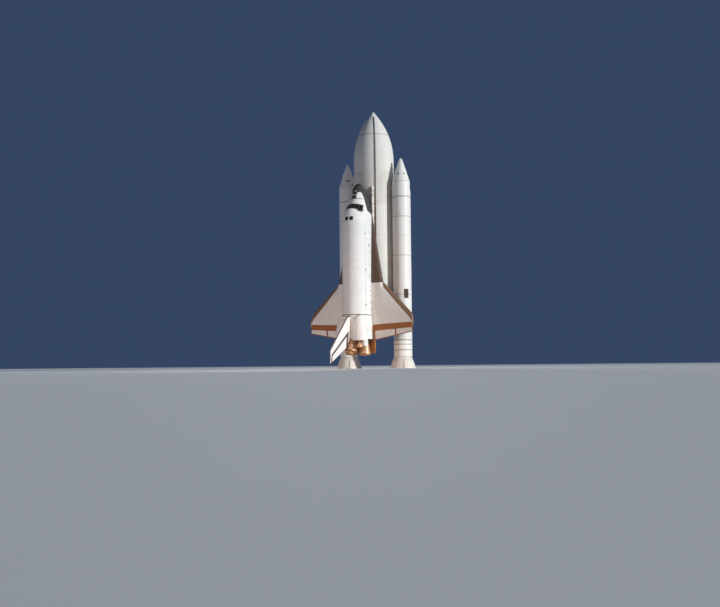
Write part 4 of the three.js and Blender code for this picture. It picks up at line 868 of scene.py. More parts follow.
def add_booster(name, side, part, node, material=booster_white):
    """A booster part with its marks: grey joints, painted shade in brown on the stiffening rings and the kick
    ring, the black patch, and the motors' spots.
    """
    piece = add(name, part, material, node=node)
    xo, x, zo = stations(piece)
    xb = xo + XO_TO_XT - XB_TO_XT
    ends = 1.2 - nearest(xb, [CONE_END, SKIRT_TOP, KICK])
    mark(piece, "seam", np.maximum(1.9 - nearest(xb, FACTORY_JOINTS), ends))
    # Painted shade: a warm brown band along each stiffening ring and the kick ring, where their sides fall in
    # shadow.
    mark(piece, "brown", 2.5 - nearest(xb, [*STIFFENERS, KICK + 5]))
    angle = np.degrees(np.arctan2(side * x - BOOSTER_SIDE, zo + TANK_Y - ZERO_ZO_Y))
    across = (17 - np.abs(angle - PATCH_ANGLE)) * BOOSTER_R * math.pi / 180
    patch = np.minimum(across, 38 - np.abs(xb - PATCH_XB))
    for degrees, middle in MOTORS[side]:
        away = np.hypot((angle - degrees) * np.radians(case_radius(xb) * 0.72), xb - middle)
        patch = np.maximum(patch, np.where(xb < CONE_END, 7.5 - away, NONE))
    mark(piece, "patch", patch)


print("booster stiffeners:", len(STIFFENERS))

# %% Booster profiles
CONE_SLOPE = 0.3173
CONE_ROWS = [(34.6 + (xb - 276) * CONE_SLOPE, xb) for xb in range(277, 396, 2)]
NOSE_ROWS = [(0.3, 200), (2.6, 200.5), (6, 203), (9.4, 207), (12, 212), (23, 243.5), (34, 275.4),
             *CONE_ROWS, (73, 397.6), (0.3, 397.6)]
SKIRT_ROWS = [(0.3, 1837.3), (73, 1837.3), (74.6, 1838), (74.6, 1846), (75.4, 1847), (84.8, 1871),
              (85.8, 1871.2), (86.6, 1873.4), (86, 1874.4), (94.4, 1897.6), (95.4, 1897.8), (96.2, 1900),
              (95.6, 1901), (103.4, 1921.6), (104.1, 1922.6), (104.1, 1930.6), (99.1, 1930.6),
              (98.1, 1920.6), (70, 1843.3), (0.3, 1843.3)]
BELL_ROWS = [(28, 1852), (31.4, 1852), (32, 1852.6), (32, 1868), (33.5, 1872), (38, 1878.5), (44, 1886),
             (48, 1891), (49.2, 1891.2), (49.9, 1893.4), (52.4, 1898), (60.6, 1909.4), (61.6, 1909.6),
             (64, 1913.4), (64, 1914), (60, 1914), (50, 1899.6), (40, 1886), (32.5, 1876), (28, 1868),
             (28, 1852)]
SEGMENTS = [("forward", SKIRT_TOP, 851.5), ("forward_centre", 851.5, 1171.5),
            ("aft_centre", 1171.5, 1491.5), ("aft", 1491.5, KICK)]
MOTOR_ROWS = [[0, 0.2], [0, 3.2], [5.0, 4.6], [5.0, 4.0], [2.5, 2.6], [2.5, 0.2]]
print("profile rows:", len(NOSE_ROWS), len(SKIRT_ROWS), len(BELL_ROWS))

# %% Booster feet and tunnels
FEET = (35, 145, 215, 325)
STUD_ROWS = [[0, 0.2], [0, 1.7], [9, 1.7], [9.6, 1.2], [9.6, 0.2]]
POST = np.array([(1926, 9, 103), (1905, 7, 99.5), (1880, 4.5, 91), (1858, 3, 82)], float).T[:, :, None]
POST_SIDE = np.array([-1, -0.8, 0.8, 1])
POST_OUT = np.array([-1, 1, 1, -1])
TUNNEL_ANGLE = 125.0


def outward(side, angle):
    """The direction out from a booster's axis at an angle."""
    a = math.radians(angle)
    return np.array([side * math.sin(a), -math.cos(a), 0])


def foot(side, angle):
    """A foot of the skirt: its block, a tapering post above it, and two studs."""
    radial = outward(side, angle)
    cross = np.array([-radial[1], radial[0], 0])
    axes = np.array([cross, radial, UP])
    xb, half, out = POST
    post = booster(side, angle, out + POST_OUT * half * 0.55, xb)
    post = post + cross * (POST_SIDE * half)[:, :, None] * INCH
    parts = [block(booster(side, angle, 102, 1923.6), [18, 20, 14], axes, 0.1), solid(post)]
    for s in (-5, 5):
        parts.append(turned(booster(side, angle, 108, 1929) + cross * s * INCH, UP, STUD_ROWS, 12))
    return parts


def tunnel(side):
    """The cover of the cables along the case: a low hump, higher across each field joint."""
    near = [j + s * 8 for j in FIELD_JOINTS for s in (-1, -0.9, 0.9, 1)]
    xb = np.unique(np.concatenate([np.linspace(470, 1836, 30), near]))[:, None]
    high = 3.6 + 1.2 * (nearest(xb, FIELD_JOINTS) < 7.9)
    r = BOOSTER_R + 0.5 + np.array([-2, 1, 1, 0.86, -2]) * high
    across = np.array([-6.5, -6.5, 5.6, 6.5, 6.5])
    a = math.radians(TUNNEL_ANGLE)
    x = side * (BOOSTER_SIDE + r * math.sin(a) + across * math.cos(a))
    return solid(points(x, TANK_Y - r * math.cos(a) + across * math.sin(a), FLOOR_XT - XB_TO_XT - xb))


print("feet on a skirt:", len(FEET))

# %% Booster pieces
for side, word in SIDES:
    node = "booster_%s_" % word
    add_booster("nose_" + word, side, booster_turned(side, *zip(*NOSE_ROWS)), node + "nose")
    part = case(side, CONE_END + 0.3, SKIRT_TOP - 0.3)
    add_booster("forward_skirt_" + word, side, part, node + "forward_skirt")
    for label, first, last in SEGMENTS:
        part = case(side, first + 0.3, last - 0.3)
        add_booster("case_%s_%s" % (label, word), side, part, node + label + "_segment")
    skirt = [booster_turned(side, *zip(*SKIRT_ROWS), 144)]
    for angle in FEET:
        skirt += foot(side, angle)
    add_booster("aft_skirt_" + word, side, merged(*skirt), node + "aft_skirt", skirt_white)
    bell = booster_turned(side, *zip(*BELL_ROWS), 96, False)
    add("nozzle_" + word, bell, nozzle_char, node + "nozzle", node + "nozzle")
    motors = []
    for angle, xb in MOTORS[side]:
        on_cone = booster(side, angle, 30.6 + (xb - 276) * CONE_SLOPE, xb)
        motors.append(turned(on_cone, outward(side, angle), MOTOR_ROWS, 20))
    add("cone_motors_" + word, merged(*motors), recess_dark)
    add("tunnel_" + word, tunnel(side), booster_white)

# %% [markdown]
# ## Orbiter front
# The body is blunt: its section grows from a small round nose to a round back over a flat belly. It could
# be a lofted surface, but a table of sizes along the body gives the same skin with any number of rows. The
# windows and the hatch are cut through a 5 inch wall, because the cabin inside is hollow.

# %% Body sections


def section(xo, first, last, cols, inset=0.0):
    """Rows of points round the body between two angles, an equal distance apart along each section."""
    fine = skin(np.asarray(xo, float)[:, None], np.linspace(first, last, 1441), inset)
    step = np.linalg.norm(np.diff(fine, axis=1), axis=2)
    length = np.pad(np.cumsum(step, 1), ((0, 0), (1, 0)))
    share = np.linspace(0, 1, cols)
    rows = [[np.interp(share * s[-1], s, row[:, k]) for k in range(3)] for s, row in zip(length, fine)]
    return np.array(rows).transpose(0, 2, 1)


def ring_section(xo, cols, inset=0.0):
    """Closed rows of points round the body."""
    return section(xo, 0, 360, cols + 1, inset)[:, :-1]


print("section of the nose:", ring_section([300], 8).shape)

# %% Windows
WINDSHIELD = [(420, 452, 71, 88), (423, 456, 53, 68), (432, 468, 36, 49)]
OVERHEAD = [(527, 553, 72, 85)]
WINDOWS = [(window, mirror) for window in WINDSHIELD + OVERHEAD for mirror in (False, True)]


def window_outline(window, grown=0.0):
    """A rounded four-sided outline in (XO, angle): a superellipse of power 8 in the window's own span."""
    front, aft, low, high = window
    t = circle(48)
    u, v = power(np.cos(t), 8), power(np.sin(t), 8)
    xo = (front + aft) / 2 + u * ((aft - front) / 2 + grown)
    return xo, (low + high) / 2 + v * ((high - low) / 2 + np.degrees(grown / 100))


def window_ring(window, mirror, inset, grown=0.0):
    """A window's outline at one depth in the wall."""
    xo, angle = window_outline(window, grown)
    return skin(xo, 180 - angle if mirror else angle, inset)


print("windows:", len(WINDOWS))

# %% Black tiles of the front


def black_edge(xo):
    """The height under which the body's side is black: high on the nose, lower behind the hatch."""
    return np.interp(xo, [236, 300, 316, 366, 468, 496, 582, 1307, 1500],
                     [420, 420, 370, 359, 360, 300, 298, 298, 326])


def front_marks(piece):
    """Black tiles: the nose and lower side, bands round the windows, and the thruster block with a white line
    and two white spots in it."""
    xo, yo, zo = stations(piece)
    row = row_of(BODY, xo, curve=np.interp)
    angle = np.degrees(np.arctan2((zo - row["wide"]) / (row["top"] - row["wide"]), np.abs(yo) / row["half"]))
    edges = [black_edge(xo) - zo, 316 - xo]
    front = np.interp(angle, [30, 36, 60, 90], [428, 423, 415, 412])
    aft = np.interp(angle, [30, 36, 50, 58, 72, 90], [480, 486, 482, 468, 460, 460])
    edges.append(np.minimum(within(xo, front, aft), (angle - 31) * 1.6))
    for front, aft, low, high in OVERHEAD:
        edges.append(np.minimum(within(xo, front - 2, aft + 2), 1.8 * within(angle, low - 2, high + 2)))
    thrusters = np.minimum(within(xo, 314, 368), 21 - np.abs(yo))
    split = np.abs(xo - 338) - 2.2
    edges.append(np.where(zo > 375, np.minimum(thrusters, split), NONE))
    edges.append(np.where(zo > 340, 2.4 - np.abs(xo - 370), NONE))
    black = np.maximum.reduce(edges)
    spots = 4.5 - np.hypot(xo - 304, np.abs(yo) - 9)
    mark(piece, "black", np.where(zo > 370, np.minimum(black, -spots), black))


print("the black ends at ZO", black_edge(1000), "along the bay")

# %% Front fuselage
HATCH_XO, HATCH_ZO, HATCH_R = 468.0, 350.0, 20.0
CABIN_XO = [384, 392, 400, 410, 420, 440, 460, 485, 510, 540, 576]
spans = [(258.6, 300, 14), (297, 380, 64), (380, 410, 6), (410, 480, 40), (480, 520, 10),
         (520, 560, 24), (571, 582, 2)]
front_xo = np.unique(np.concatenate([np.linspace(*span) for span in spans]))
front = solid(ring_section(front_xo, 160))
fuselage = add("forward_fuselage_skin", front, white_tile, node="forward_fuselage")
cuts = [solid(np.stack([window_ring(w, m, inset) for inset in (-4, 2, 12)])) for w, m in WINDOWS]
cuts += [block(orb(579, s * 17, 465), [18, 20, 20]) for s in (-1, 1)]
cuts.append(drum(orb(HATCH_XO, -80, HATCH_ZO), (-1, 0, 0), 0, 50, HATCH_R, 64, 0.1))
carve(fuselage, solid(ring_section(CABIN_XO, 72, WALL)), *cuts)
front_marks(fuselage)
print("front body:", len(fuselage.data.vertices), "vertices")

# %% Window frames, glass and nose cap
NOSE_XO, CAP_XO = 236.0, 258.2
RIM = [(-0.35, 1.6), (-0.35, 0.2), (1.5, -0.9), (3.4, -0.9), (3.4, 1.6), (1.0, 2.0), (-0.35, 1.6)]
rims = [np.stack([window_ring(w, m, inset, grown) for inset, grown in RIM]) for w, m in WINDOWS]
add("window_frames", merged(*[solid(rim, ends=False) for rim in rims]), recess_dark, weld=1e-6)
panes = [solid(np.stack([window_ring(w, m, inset, 2.0) for inset in (3.6, 4.6)])) for w, m in WINDOWS]
add("windshield_panes", merged(*panes[:6]), glass, node="windshield_glass", weld=1e-6)
add("overhead_panes", merged(*panes[6:]), glass, node="overhead_glass", weld=1e-6)

tip_xo = NOSE_XO + (CAP_XO - NOSE_XO) * np.linspace(0, 1, 18) ** 1.8
add("nose_shell", solid(ring_section(tip_xo, 160)), nose_carbon, node="nose_cap")
print("panes:", len(panes))

# %% [markdown]
# ## Crew hatch and thrusters
# The hatch is a round plug of the wall that hinges out. A Boolean could cut it from the same skin, but that
# leaves long thin faces, so it is its own thick disc. Its rings are circles in side view, and the body's
# formula gives each point its place across. The thrusters are small flared mouths set into the nose.

# %% Crew hatch and nose thrusters


def body_half(xo, zo, inset=0.0):
    """Half the body's width at a station and height: half (1 - (height / high)^n)^(1 / n)."""
    over = zo >= smooth(xo, BODY["xo"], BODY["wide"])
    half, wide, high, n = body_row(xo, over, inset)
    return half * np.clip(1 - (np.abs(zo - wide) / high) ** n, 0, 1) ** (1 / n)


def hatch_disc(radius, rings, cols, out, back, inset=0.0):
    """A thick disc of the port side round the hatch's middle: its faces stand out and back by some inches."""
    r = np.linspace(0.001, radius, rings)[:, None]
    xo, zo = HATCH_XO + r * np.cos(circle(cols)), HATCH_ZO + r * np.sin(circle(cols))
    outer = orb(xo, -body_half(xo, zo) - out, zo)
    return solid(np.concatenate([outer, orb(xo, back - body_half(xo, zo, inset), zo)[::-1]]))


def mouth(start, out, radius):
    """A thruster mouth: a flared rim with a hollow behind it."""
    rows = [[-3, 0.1], [-3, radius * 0.7], [0.35, radius], [0.35, radius * 0.86],
            [-2.4, radius * 0.5], [-2.4, 0.1]]
    return turned(start, out, rows, 20)


plug = add("crew_hatch_plug", hatch_disc(HATCH_R - 0.5, 14, 72, 0, 0, WALL), white_tile,
           "crew_hatch", "crew_hatch")
front_marks(plug)
add("hatch_window", hatch_disc(4.4, 4, 32, 0.25, 0.6), glass, "crew_hatch")
mouths = [mouth(skin(347, 90 - yo * 0.9), (0, -1, 0.25), 3.4) for yo in (-13, 0, 13)]
for s in (-1, 1):
    for xo, zo in ((330, 372), (341, 362), (352, 352), (336, 388)):
        mouths.append(mouth(orb(xo, s * body_half(xo, zo), zo), (s, -0.2, 0.2), 3.0))
add("nose_thrusters", merged(*mouths), recess_dark)
print("hatch and", len(mouths), "nose thrusters")

# %% [markdown]
# ## Payload bay
# The mid body is an open trough with a lined hold, under two doors that are 5 inches thick. Silver
# radiators lie inside the doors. A Solidify modifier could give the wall, but the hold is round and the
# outside is not. So skin and hold are two sheets of points joined at their rims, and the bay stays open when
# the doors swing up.

# %% Mid body
BAY_R = 94.0
BAY_EDGE_ZO = 21
MID_HALF = 105
VENTS = [(640, 360, 7, 4), (748, 362, 13, 6), (800, 352, 5, 4), (884, 366, 6, 4), (908, 346, 6, 4),
         (990, 350, 8, 4), (1075, 344, 10, 3.5), (1110, 344, 12, 3.5), (1150, 344, 9, 3.5),
         (1205, 344, 12, 3.5), (1262, 350, 8, 4)]


def bay(xo, radius, t):
    """A point round the bay's axis, at an angle in radians."""
    return orb(xo, radius * np.cos(t), AXIS_ZO + radius * np.sin(t))


def mid_marks(piece):
    """Black lower tiles, and dark ports: rectangles on the outside, and the joint behind the bay."""
    xo, yo, zo = stations(piece)
    vents = [np.minimum(long - np.abs(xo - vent_xo), high - np.abs(zo - vent_zo))
             for vent_xo, vent_zo, long, high in VENTS]
    outside = np.hypot(yo, zo - AXIS_ZO) > BAY_R + 3
    vent = np.where(outside, np.maximum.reduce(vents), NONE).clip(NONE)
    mark(piece, "port", np.maximum(vent, xo - 1304.5))
    mark(piece, "black", black_edge(xo) - zo)


vent_edges = [xo + s * (long + k) for xo, zo, long, high in VENTS for k in (-0.3, 0.3) for s in (-1, 1)]
mid_xo = np.concatenate([np.linspace(582.4, 1306.6, 60), vent_edges, [1304, 1304.6]])
mid_xo = np.unique(np.round(mid_xo, 2))
edge = math.degrees(math.asin(BAY_EDGE_ZO / MID_HALF))
low = math.degrees(math.asin(BAY_EDGE_ZO / BAY_R))
hold = bay(mid_xo[:, None], BAY_R, np.radians(np.linspace(180 - low, 360 + low, 220)))
trough = shell(section(mid_xo, 180 - edge, 360 + edge, 220), hold)
mid_marks(add("mid_fuselage_skin", trough, white_quilt, node="mid_fuselage"))
print("mid body:", len(VENTS), "vents a side")

# %% Bay liner and frames
t = np.radians(np.linspace(184, 356, 60))
puff = 0.9 * np.sin(np.linspace(0, math.pi, 6))[:, None] * np.abs(np.sin(t * 9))
liner = []
for first, last in zip(np.linspace(590, 1240, 11), np.linspace(649, 1299, 11)):
    rows = np.linspace(first, last, 6)[:, None]
    liner.append(shell(bay(rows, BAY_R - 0.2, t), bay(rows, BAY_R - 1.2 - puff, t)))
add("bay_liner", merged(*liner), bay_cloth)

t = np.radians(np.linspace(186, 354, 50))
ribs = []
for xo in np.linspace(650, 1240, 10):
    rows = np.array([[xo - 1.6], [xo + 1.6]])
    ribs.append(shell(bay(rows, BAY_R - 0.2, t), bay(rows, BAY_R - 3.0, t)))
ribs += [block(orb(944, s * 88.5, 414), [4, 7, 715]) for s in (-1, 1)]
add("bay_frames", merged(*ribs), strut_grey)
print("bay frames:", len(ribs) - 2)

# %% Payload doors and radiators
DOOR_LOW, DOOR_TOP = 13.0, 89.86
DOOR_YO, DOOR_ZO = 108.5, 420.0
DOOR_HINGES = [660, 945, 1230]
DOOR_SEAMS = [727.0, 872.0, 1017.0, 1162.0]


def side_section(xo, s, low, high, cols, inset):
    """Part of the body's section on one side: the port side's angles mirror the starboard side's."""
    return section(xo, 90 + s * (low - 90), 90 + s * (high - 90), cols, inset)


door_xo = near_seams(582.7, 1306.3, DOOR_SEAMS, 1.0, 26)
dip = 0.5 * np.clip(1 - nearest(door_xo, DOOR_SEAMS) ** 2, 0, None)
for s, word in SIDES:
    body = "payload_door_" + word
    outer = side_section(door_xo, s, DOOR_LOW, DOOR_TOP, 60, 0.0)
    inner = side_section(door_xo, s, DOOR_LOW, DOOR_TOP, 60, WALL)
    parts = [shell(outer + (inner - outer) * (dip / WALL)[:, None, None], inner)]
    for hinge in DOOR_HINGES:
        for up in (5.25, -5.25):
            parts.append(drum(orb(hinge - up, s * DOOR_YO, DOOR_ZO), UP, -2, 2, 2.4))
            arm = orb(hinge - up, s * (DOOR_YO - 3.4), DOOR_ZO + 4.4)
            parts.append(block(arm, [3.8, 11, 4], leaning(0.785, s * 0.62)))
    door = add("door_" + word, merged(*parts), white_quilt, body, body)
    mark(door, "port", stations(door)[0] - 1304.2)
    panels = []
    for first, last in zip([584.5, *DOOR_SEAMS], [*DOOR_SEAMS, 1304.5]):
        rows = np.linspace(first + 2, last - 2, 8)
        panels.append(shell(*[side_section(rows, s, 24, 86, 30, inset) for inset in (5.4, 7.0)]))
    add("radiator_" + word, merged(*panels), radiator, body)

lugs = []
for s in (-1, 1):
    for hinge in DOOR_HINGES:
        lugs.append(drum(orb(hinge, s * DOOR_YO, DOOR_ZO), UP, -3, 3, 2.4))
        lugs.append(block(orb(hinge, s * (DOOR_YO - 2.6), DOOR_ZO - 4), [4, 10, 6], leaning(0.8, -s * 0.6)))
add("door_hinge_lugs", merged(*lugs), strut_grey)
print("payload doors:", len(DOOR_HINGES), "hinges each")

# %% [markdown]
# ## Wings
# A double delta: a long thin glove, then the main wing. The upper skin is white behind a black glove, and
# the under skin is black. It could be sculpted from a flat plate, but a wing is known by its sections. So
# each row of the grid is one section, an airfoil formula that blends into a flat wedge inboard, and its end
# is an arc round the elevons' hinge line.

# %% Wing shape
WING = dict(
    yo=[96, 105, 150, 190, 203, 230, 312, 440, 456, 464, 468.3],
    lead=[480, 500, 759, 985, 1045, 1070, 1152, 1280, 1299, 1315, 1336],
    trail=[1511, 1509.9, 1501.9, 1494.8, 1492.5, 1487.7, 1473.2, 1450.5, 1447.6, 1446.2, 1445.5],
    thick=[56, 56, 53.5, 51, 50, 46.5, 35.5, 18.5, 16, 14.5, 8],
    base=[297.5, 298, 300.8, 303.2, 304, 305.6, 310.7, 318.5, 319.5, 320, 320.2],
)
HINGE_XO = 1387.0
UPPER, UNDER = 1.35, -0.65


def wing_row(yo):
    """The wing's edges, thickness and middle height at a place across the span."""
    return row_of(WING, yo, "yo", np.interp)


def wing_half(yo, xo):
    """Half thickness: an airfoil of the share of the chord, blended into a long thin glove inboard."""
    row = wing_row(yo)
    s = np.clip((xo - row["lead"]) / (row["trail"] - row["lead"]), 0, 1)
    airfoil = 10 * (0.2969 * np.sqrt(s) - 0.126 * s - 0.3516 * s**2 + 0.2843 * s**3 - 0.1015 * s**4)
    glove = np.where(s < 0.66, (s / 0.66) ** 0.55, 1 - (s - 0.66) / 0.34 * 0.93)
    inboard = np.clip((203 - yo) / 98, 0, 1)
    return row["thick"] / 2 * (airfoil + (glove - airfoil) * inboard)


def hinge_height(yo):
    """Height of the elevon hinge line, and the elevon's nose radius there."""
    half = wing_half(yo, HINGE_XO)
    return wing_row(yo)["base"] + (UPPER + UNDER) / 2 * half, half


print("wing span:", 2 * WING["yo"][-1], "inches")

# %% Wing skins


def wing(side):
    """Upper skin from the hinge to the leading edge, under skin back again, and an arc round the hinge."""
    close = [311.4, 314.6, 460, 464, 466.5, 467.7, 468.3]
    yo = np.unique(np.concatenate([np.linspace(97, 203, 34), np.linspace(203, 456, 50), close]))[:, None]
    row = wing_row(yo)
    middle, half = hinge_height(yo)
    radius = half + 0.55
    until = HINGE_XO - np.sqrt(radius**2 - half**2)
    q = (1 - np.cos(np.linspace(0, math.pi / 2, 44))) ** 1.15
    xo_up = row["lead"] + (until - row["lead"]) * q[::-1]
    xo_low = row["lead"] + (until - row["lead"]) * q[1:]
    up = row["base"] + UPPER * wing_half(yo, xo_up)
    low = row["base"] + UNDER * wing_half(yo, xo_low)
    arc = np.linspace(-1, 1, 16)[1:-1] * np.arcsin(half / radius)
    xo = np.concatenate([xo_up, xo_low, HINGE_XO - radius * np.cos(arc)], 1)
    return solid(orb(xo, side * yo, np.concatenate([up, low, middle + radius * np.sin(arc)], 1)))


def edge_wide(yo):
    """How far the carbon leading edge reaches aft."""
    return np.interp(yo, [198, 215, 330, 430, 468], [10, 34, 46, 52, 60])


def wing_marks(piece, side):
    """Distances in inches to the edges of the carbon edge, the black skins with their warm painted light, and
    the dark band.
    """
    xo, yo, zo = stations(piece)
    yo = side * yo
    row = wing_row(yo)
    under = row["base"] + 0.2 - zo
    band = np.minimum(xo - np.interp(yo, [105, 468], [1383, 1368]), 462 - yo)
    mark(piece, "grey", np.where(yo > 200, edge_wide(yo) - xo + row["lead"], NONE))
    mark(piece, "black", np.maximum(under, np.where(yo < 206, 1048 - xo, NONE)))
    mark(piece, "dark", np.where(under < 0, band, NONE))


for side, word in SIDES:
    wing_marks(add("wing_skin_" + word, wing(side), wing_tile, node="wing_" + word, angle=40), side)

# %% [markdown]
# ## Leading edge panels
# Carbon panels take the heat on the wing's edge, 22 a side, with a narrow seal between. Each could be cut
# from the wing's skin, but a thin shell grown from the wing's own formula follows it exactly and leaves the
# narrow gaps free.

# %% Leading edge panels
PANELS = 22


def edge_panels(side):
    """Each panel is the wing's nose grown by up to 0.45 inch, between two places across, wrapped round it."""
    t = np.linspace(-1, 1, 25)
    face = np.where(t > 0, UPPER, UNDER)
    grown = 0.45 * np.clip((1 - np.abs(t)) * 8, 0.05, 1)
    breaks = np.linspace(206, 462, PANELS + 1)
    made = []
    for first, last in zip(breaks[:-1], breaks[1:]):
        yo = np.linspace(first + 0.35, last - 0.35, 5)[:, None]
        row = wing_row(yo)
        xo = row["lead"] + (edge_wide(yo) - 1.5) * np.abs(t) ** 1.8
        high = face * wing_half(yo, xo)
        outer = orb(xo - grown * (1 - np.abs(t)), side * yo, row["base"] + high + np.sign(t) * grown)
        made.append(shell(outer, orb(xo + 0.8, side * yo, row["base"] + high * 0.96)))
    return merged(*made)


for side, word in SIDES:
    add("edge_panels_" + word, edge_panels(side), carbon_grey, angle=50)
print("leading edge panels:", PANELS, "a side")

# %% [markdown]
# ## Elevons
# Two on each wing steer the orbiter in the air. They could be cut from the wing, but then they would jam
# against it as they turn. So each has its own round nose on the hinge line, which turns inside the arc at
# the wing's end, and a thin trailing edge. A dark seal covers its front third, and dark tiles outline it.

# %% Elevons
ELEVONS = [("inboard", 121.0, 311.5), ("outboard", 314.5, 463.0)]


def elevon_row(yo, first, last):
    """Hinge height, nose radius and trailing edge: straight lines between the elevon's two ends."""
    share = (yo - first) / (last - first)
    ends = [(*hinge_height(end), wing_row(end)["trail"]) for end in (first, last)]
    return [a + (b - a) * share for a, b in zip(*ends)]


def elevon(side, first, last):
    """A half circle round the hinge line, then two straight faces that meet in a blunt edge."""
    yo = np.unique(np.concatenate([np.linspace(first, last, 16), [first + 5, last - 5]]))[:, None]
    middle, h, trail = elevon_row(yo, first, last)
    nose = np.linspace(0, math.pi, 25)
    q = np.linspace(0, 1, 20)[1:]
    long = trail - HINGE_XO
    xo = HINGE_XO + np.concatenate([-h * np.sin(nose), long * q, long * q[::-1]], 1)
    zo = middle + np.concatenate([h * np.cos(nose), -h + (h - 0.7) * q, h - (h - 0.7) * q[::-1]], 1)
    return solid(orb(xo, side * yo, zo))


def elevon_marks(piece, side, first, last):
    """Black under skin, and a dark front third and rim on top."""
    xo, yo, zo = stations(piece)
    yo = side * yo
    middle, h, trail = elevon_row(yo, first, last)
    under = middle - 0.3 - zo
    rim = np.maximum(7.0 - (trail - xo), 5.0 - within(yo, first, last))
    seal = np.interp(yo, [105, 468], [1434, 1412]) - xo
    mark(piece, "black", under)
    mark(piece, "dark", np.where(under < 0, np.maximum(seal, rim), NONE))


for side, word in SIDES:
    for label, first, last in ELEVONS:
        body = "elevon_%s_%s" % (word, label)
        part = elevon(side, first, last)
        elevon_marks(add(body + "_skin", part, wing_tile, body, body), side, first, last)
print("elevons:", 2 * len(ELEVONS))

# %% [markdown]
# ## Aft body and body flap
# The body swells towards its square end, which a dark heat shield covers, and three wells in it take the
# engines. Round wells could be built into its rings of points, but the engines lean. So turned forms along
# their own axes are cut out with a Boolean. A brown shelf under them carries the body flap; their orange
# brown is warm painted light from below.

# %% Aft body
WELL_ROWS = [[-16, 0.1], [-16, 34], [8, 38], [43.8, 38], [64.8, 41.7], [95, 56], [95, 0.1]]
LINING_ROWS = [[-15.5, 33.7], [-15.5, 0.1], [-15.0, 0.1], [-15.0, 33.0], [6, 36.6], [8, 37.4],
               [8.4, 37.9], [-15.5, 33.9]]


def engine_place(xo, yo, zo, up, out):
    """Where an engine's gimbal is, and which way its bell points, from its cant up and out in degrees."""
    up, out = math.radians(up), math.radians(out)
    aft = np.array([math.sin(out), -math.sin(up), -math.cos(up)])
    return orb(xo, yo, zo), aft / np.linalg.norm(aft)


ENGINES = {"upper": engine_place(1445.0, 0.0, 443.0, 16.0, 0.0),
           "right": engine_place(1468.2, 53.0, 342.6, 10.0, 3.5),
           "left": engine_place(1468.2, -53.0, 342.6, 10.0, -3.5)}


def aft_marks(piece):
    """Dark lower tiles, their dark brown partly painted shade and warm painted light, and black in the
    engines' wells, on the square end and on the joint ahead.
    """
    xo, yo, zo = stations(piece)
    wells = []
    for start, aft in ENGINES.values():
        away = (orb(xo, yo, zo) - start) / INCH
        wells.append(38.6 - np.linalg.norm(away - np.outer(away @ aft, aft), axis=1))
    wells = np.where(xo > 1425, np.maximum.reduce(wells), NONE).clip(NONE)
    rim = np.where(np.hypot(yo, zo - AXIS_ZO) > 60, 3, -60)
    # Painted shade and warm painted light: the lower side goes dark brown, higher towards the square end.
    mark(piece, "dark", np.interp(xo, [1307, 1370, 1400, 1500], [298, 300, 330, 344]) - zo)
    mark(piece, "black", np.maximum.reduce([xo - 1498.8, wells, np.where(xo < 1310.5, rim, NONE)]))


aft_xo = np.unique(np.concatenate([np.linspace(1307.4, 1490, 24), [1494, 1497, 1499, 1500]]))
aft_body = add("aft_body_skin", solid(ring_section(aft_xo, 160)), white_tile, node="aft_fuselage")
carve(aft_body, *[turned(start, aft, WELL_ROWS, 72) for start, aft in ENGINES.values()])
aft_marks(aft_body)
print("engine wells:", len(ENGINES))

# %% Shelf and body flap
FLAP_XO, FLAP_ZO, FLAP_NOSE, FLAP_LONG, FLAP_HALF = 1532.0, 286.0, 8.0, 80.0, 116


def root_fairing(s):
    """A low half round along the wing's root: rounded points across, thinner towards its aft end."""
    xo = np.linspace(1391, 1506, 24)[:, None]
    across = np.interp(xo, [1391, 1400, 1500, 1506], [108, 109, 117, 117])
    thick = np.interp(xo, [1391, 1400, 1500, 1506], [20, 20, 7, 3])
    yo = across + (119.6 - across) * np.array([-0.2, 0.4, 1, 1, 0.4, -0.2])
    return solid(orb(xo, s * yo, 301 + thick * np.array([-1, -1, -0.8, 0.8, 1, 1])))


shelf = [block(orb(1508.5, 0, 288), [224, 22, 26], bevel=0.2)]
for s in (-1, 1):
    shelf.append(block(orb(1524, s * 88, 286), [7, 5, 16], bevel=0.2))
    shelf.append(drum(orb(FLAP_XO, s * 88 - 3.5, FLAP_ZO), (1, 0, 0), 0, 7, 4.4, 24))
    shelf.append(root_fairing(s))
add("aft_shelf", merged(*shelf), brown_tile)
linings = [turned(start, aft, LINING_ROWS, 48, ends=False) for start, aft in ENGINES.values()]
add("engine_well_linings", merged(*linings), bay_cloth)

nose = np.linspace(0, math.pi, 25)
q = np.linspace(0, 1, 12)[1:]
flap_xo = FLAP_XO + np.concatenate([-FLAP_NOSE * np.sin(nose), FLAP_LONG * q, FLAP_LONG * q[::-1]])
flap_zo = np.concatenate([FLAP_NOSE * np.cos(nose), 6.5 * q - FLAP_NOSE, FLAP_NOSE - 6.5 * q[::-1]])
flap_yo = np.linspace(-FLAP_HALF, FLAP_HALF, 20)[:, None]
flap = solid(orb(flap_xo, flap_yo, FLAP_ZO + flap_zo))
# The body flap's orange brown is warm painted light from below.
add("body_flap_skin", flap, brown_tile, "body_flap", "body_flap")
print("body flap:", FLAP_LONG, "inches long")

# %% [markdown]
# ## Pods
# A pod on each side of the fin holds a manoeuvring engine and small thrusters. It is a long drop: rings of
# ellipses from a table. A stretched ball could give the same drop, but it has to sit on the body without a
# gap. So the body's own rings, larger by 0.3 of an inch, are cut out of it.

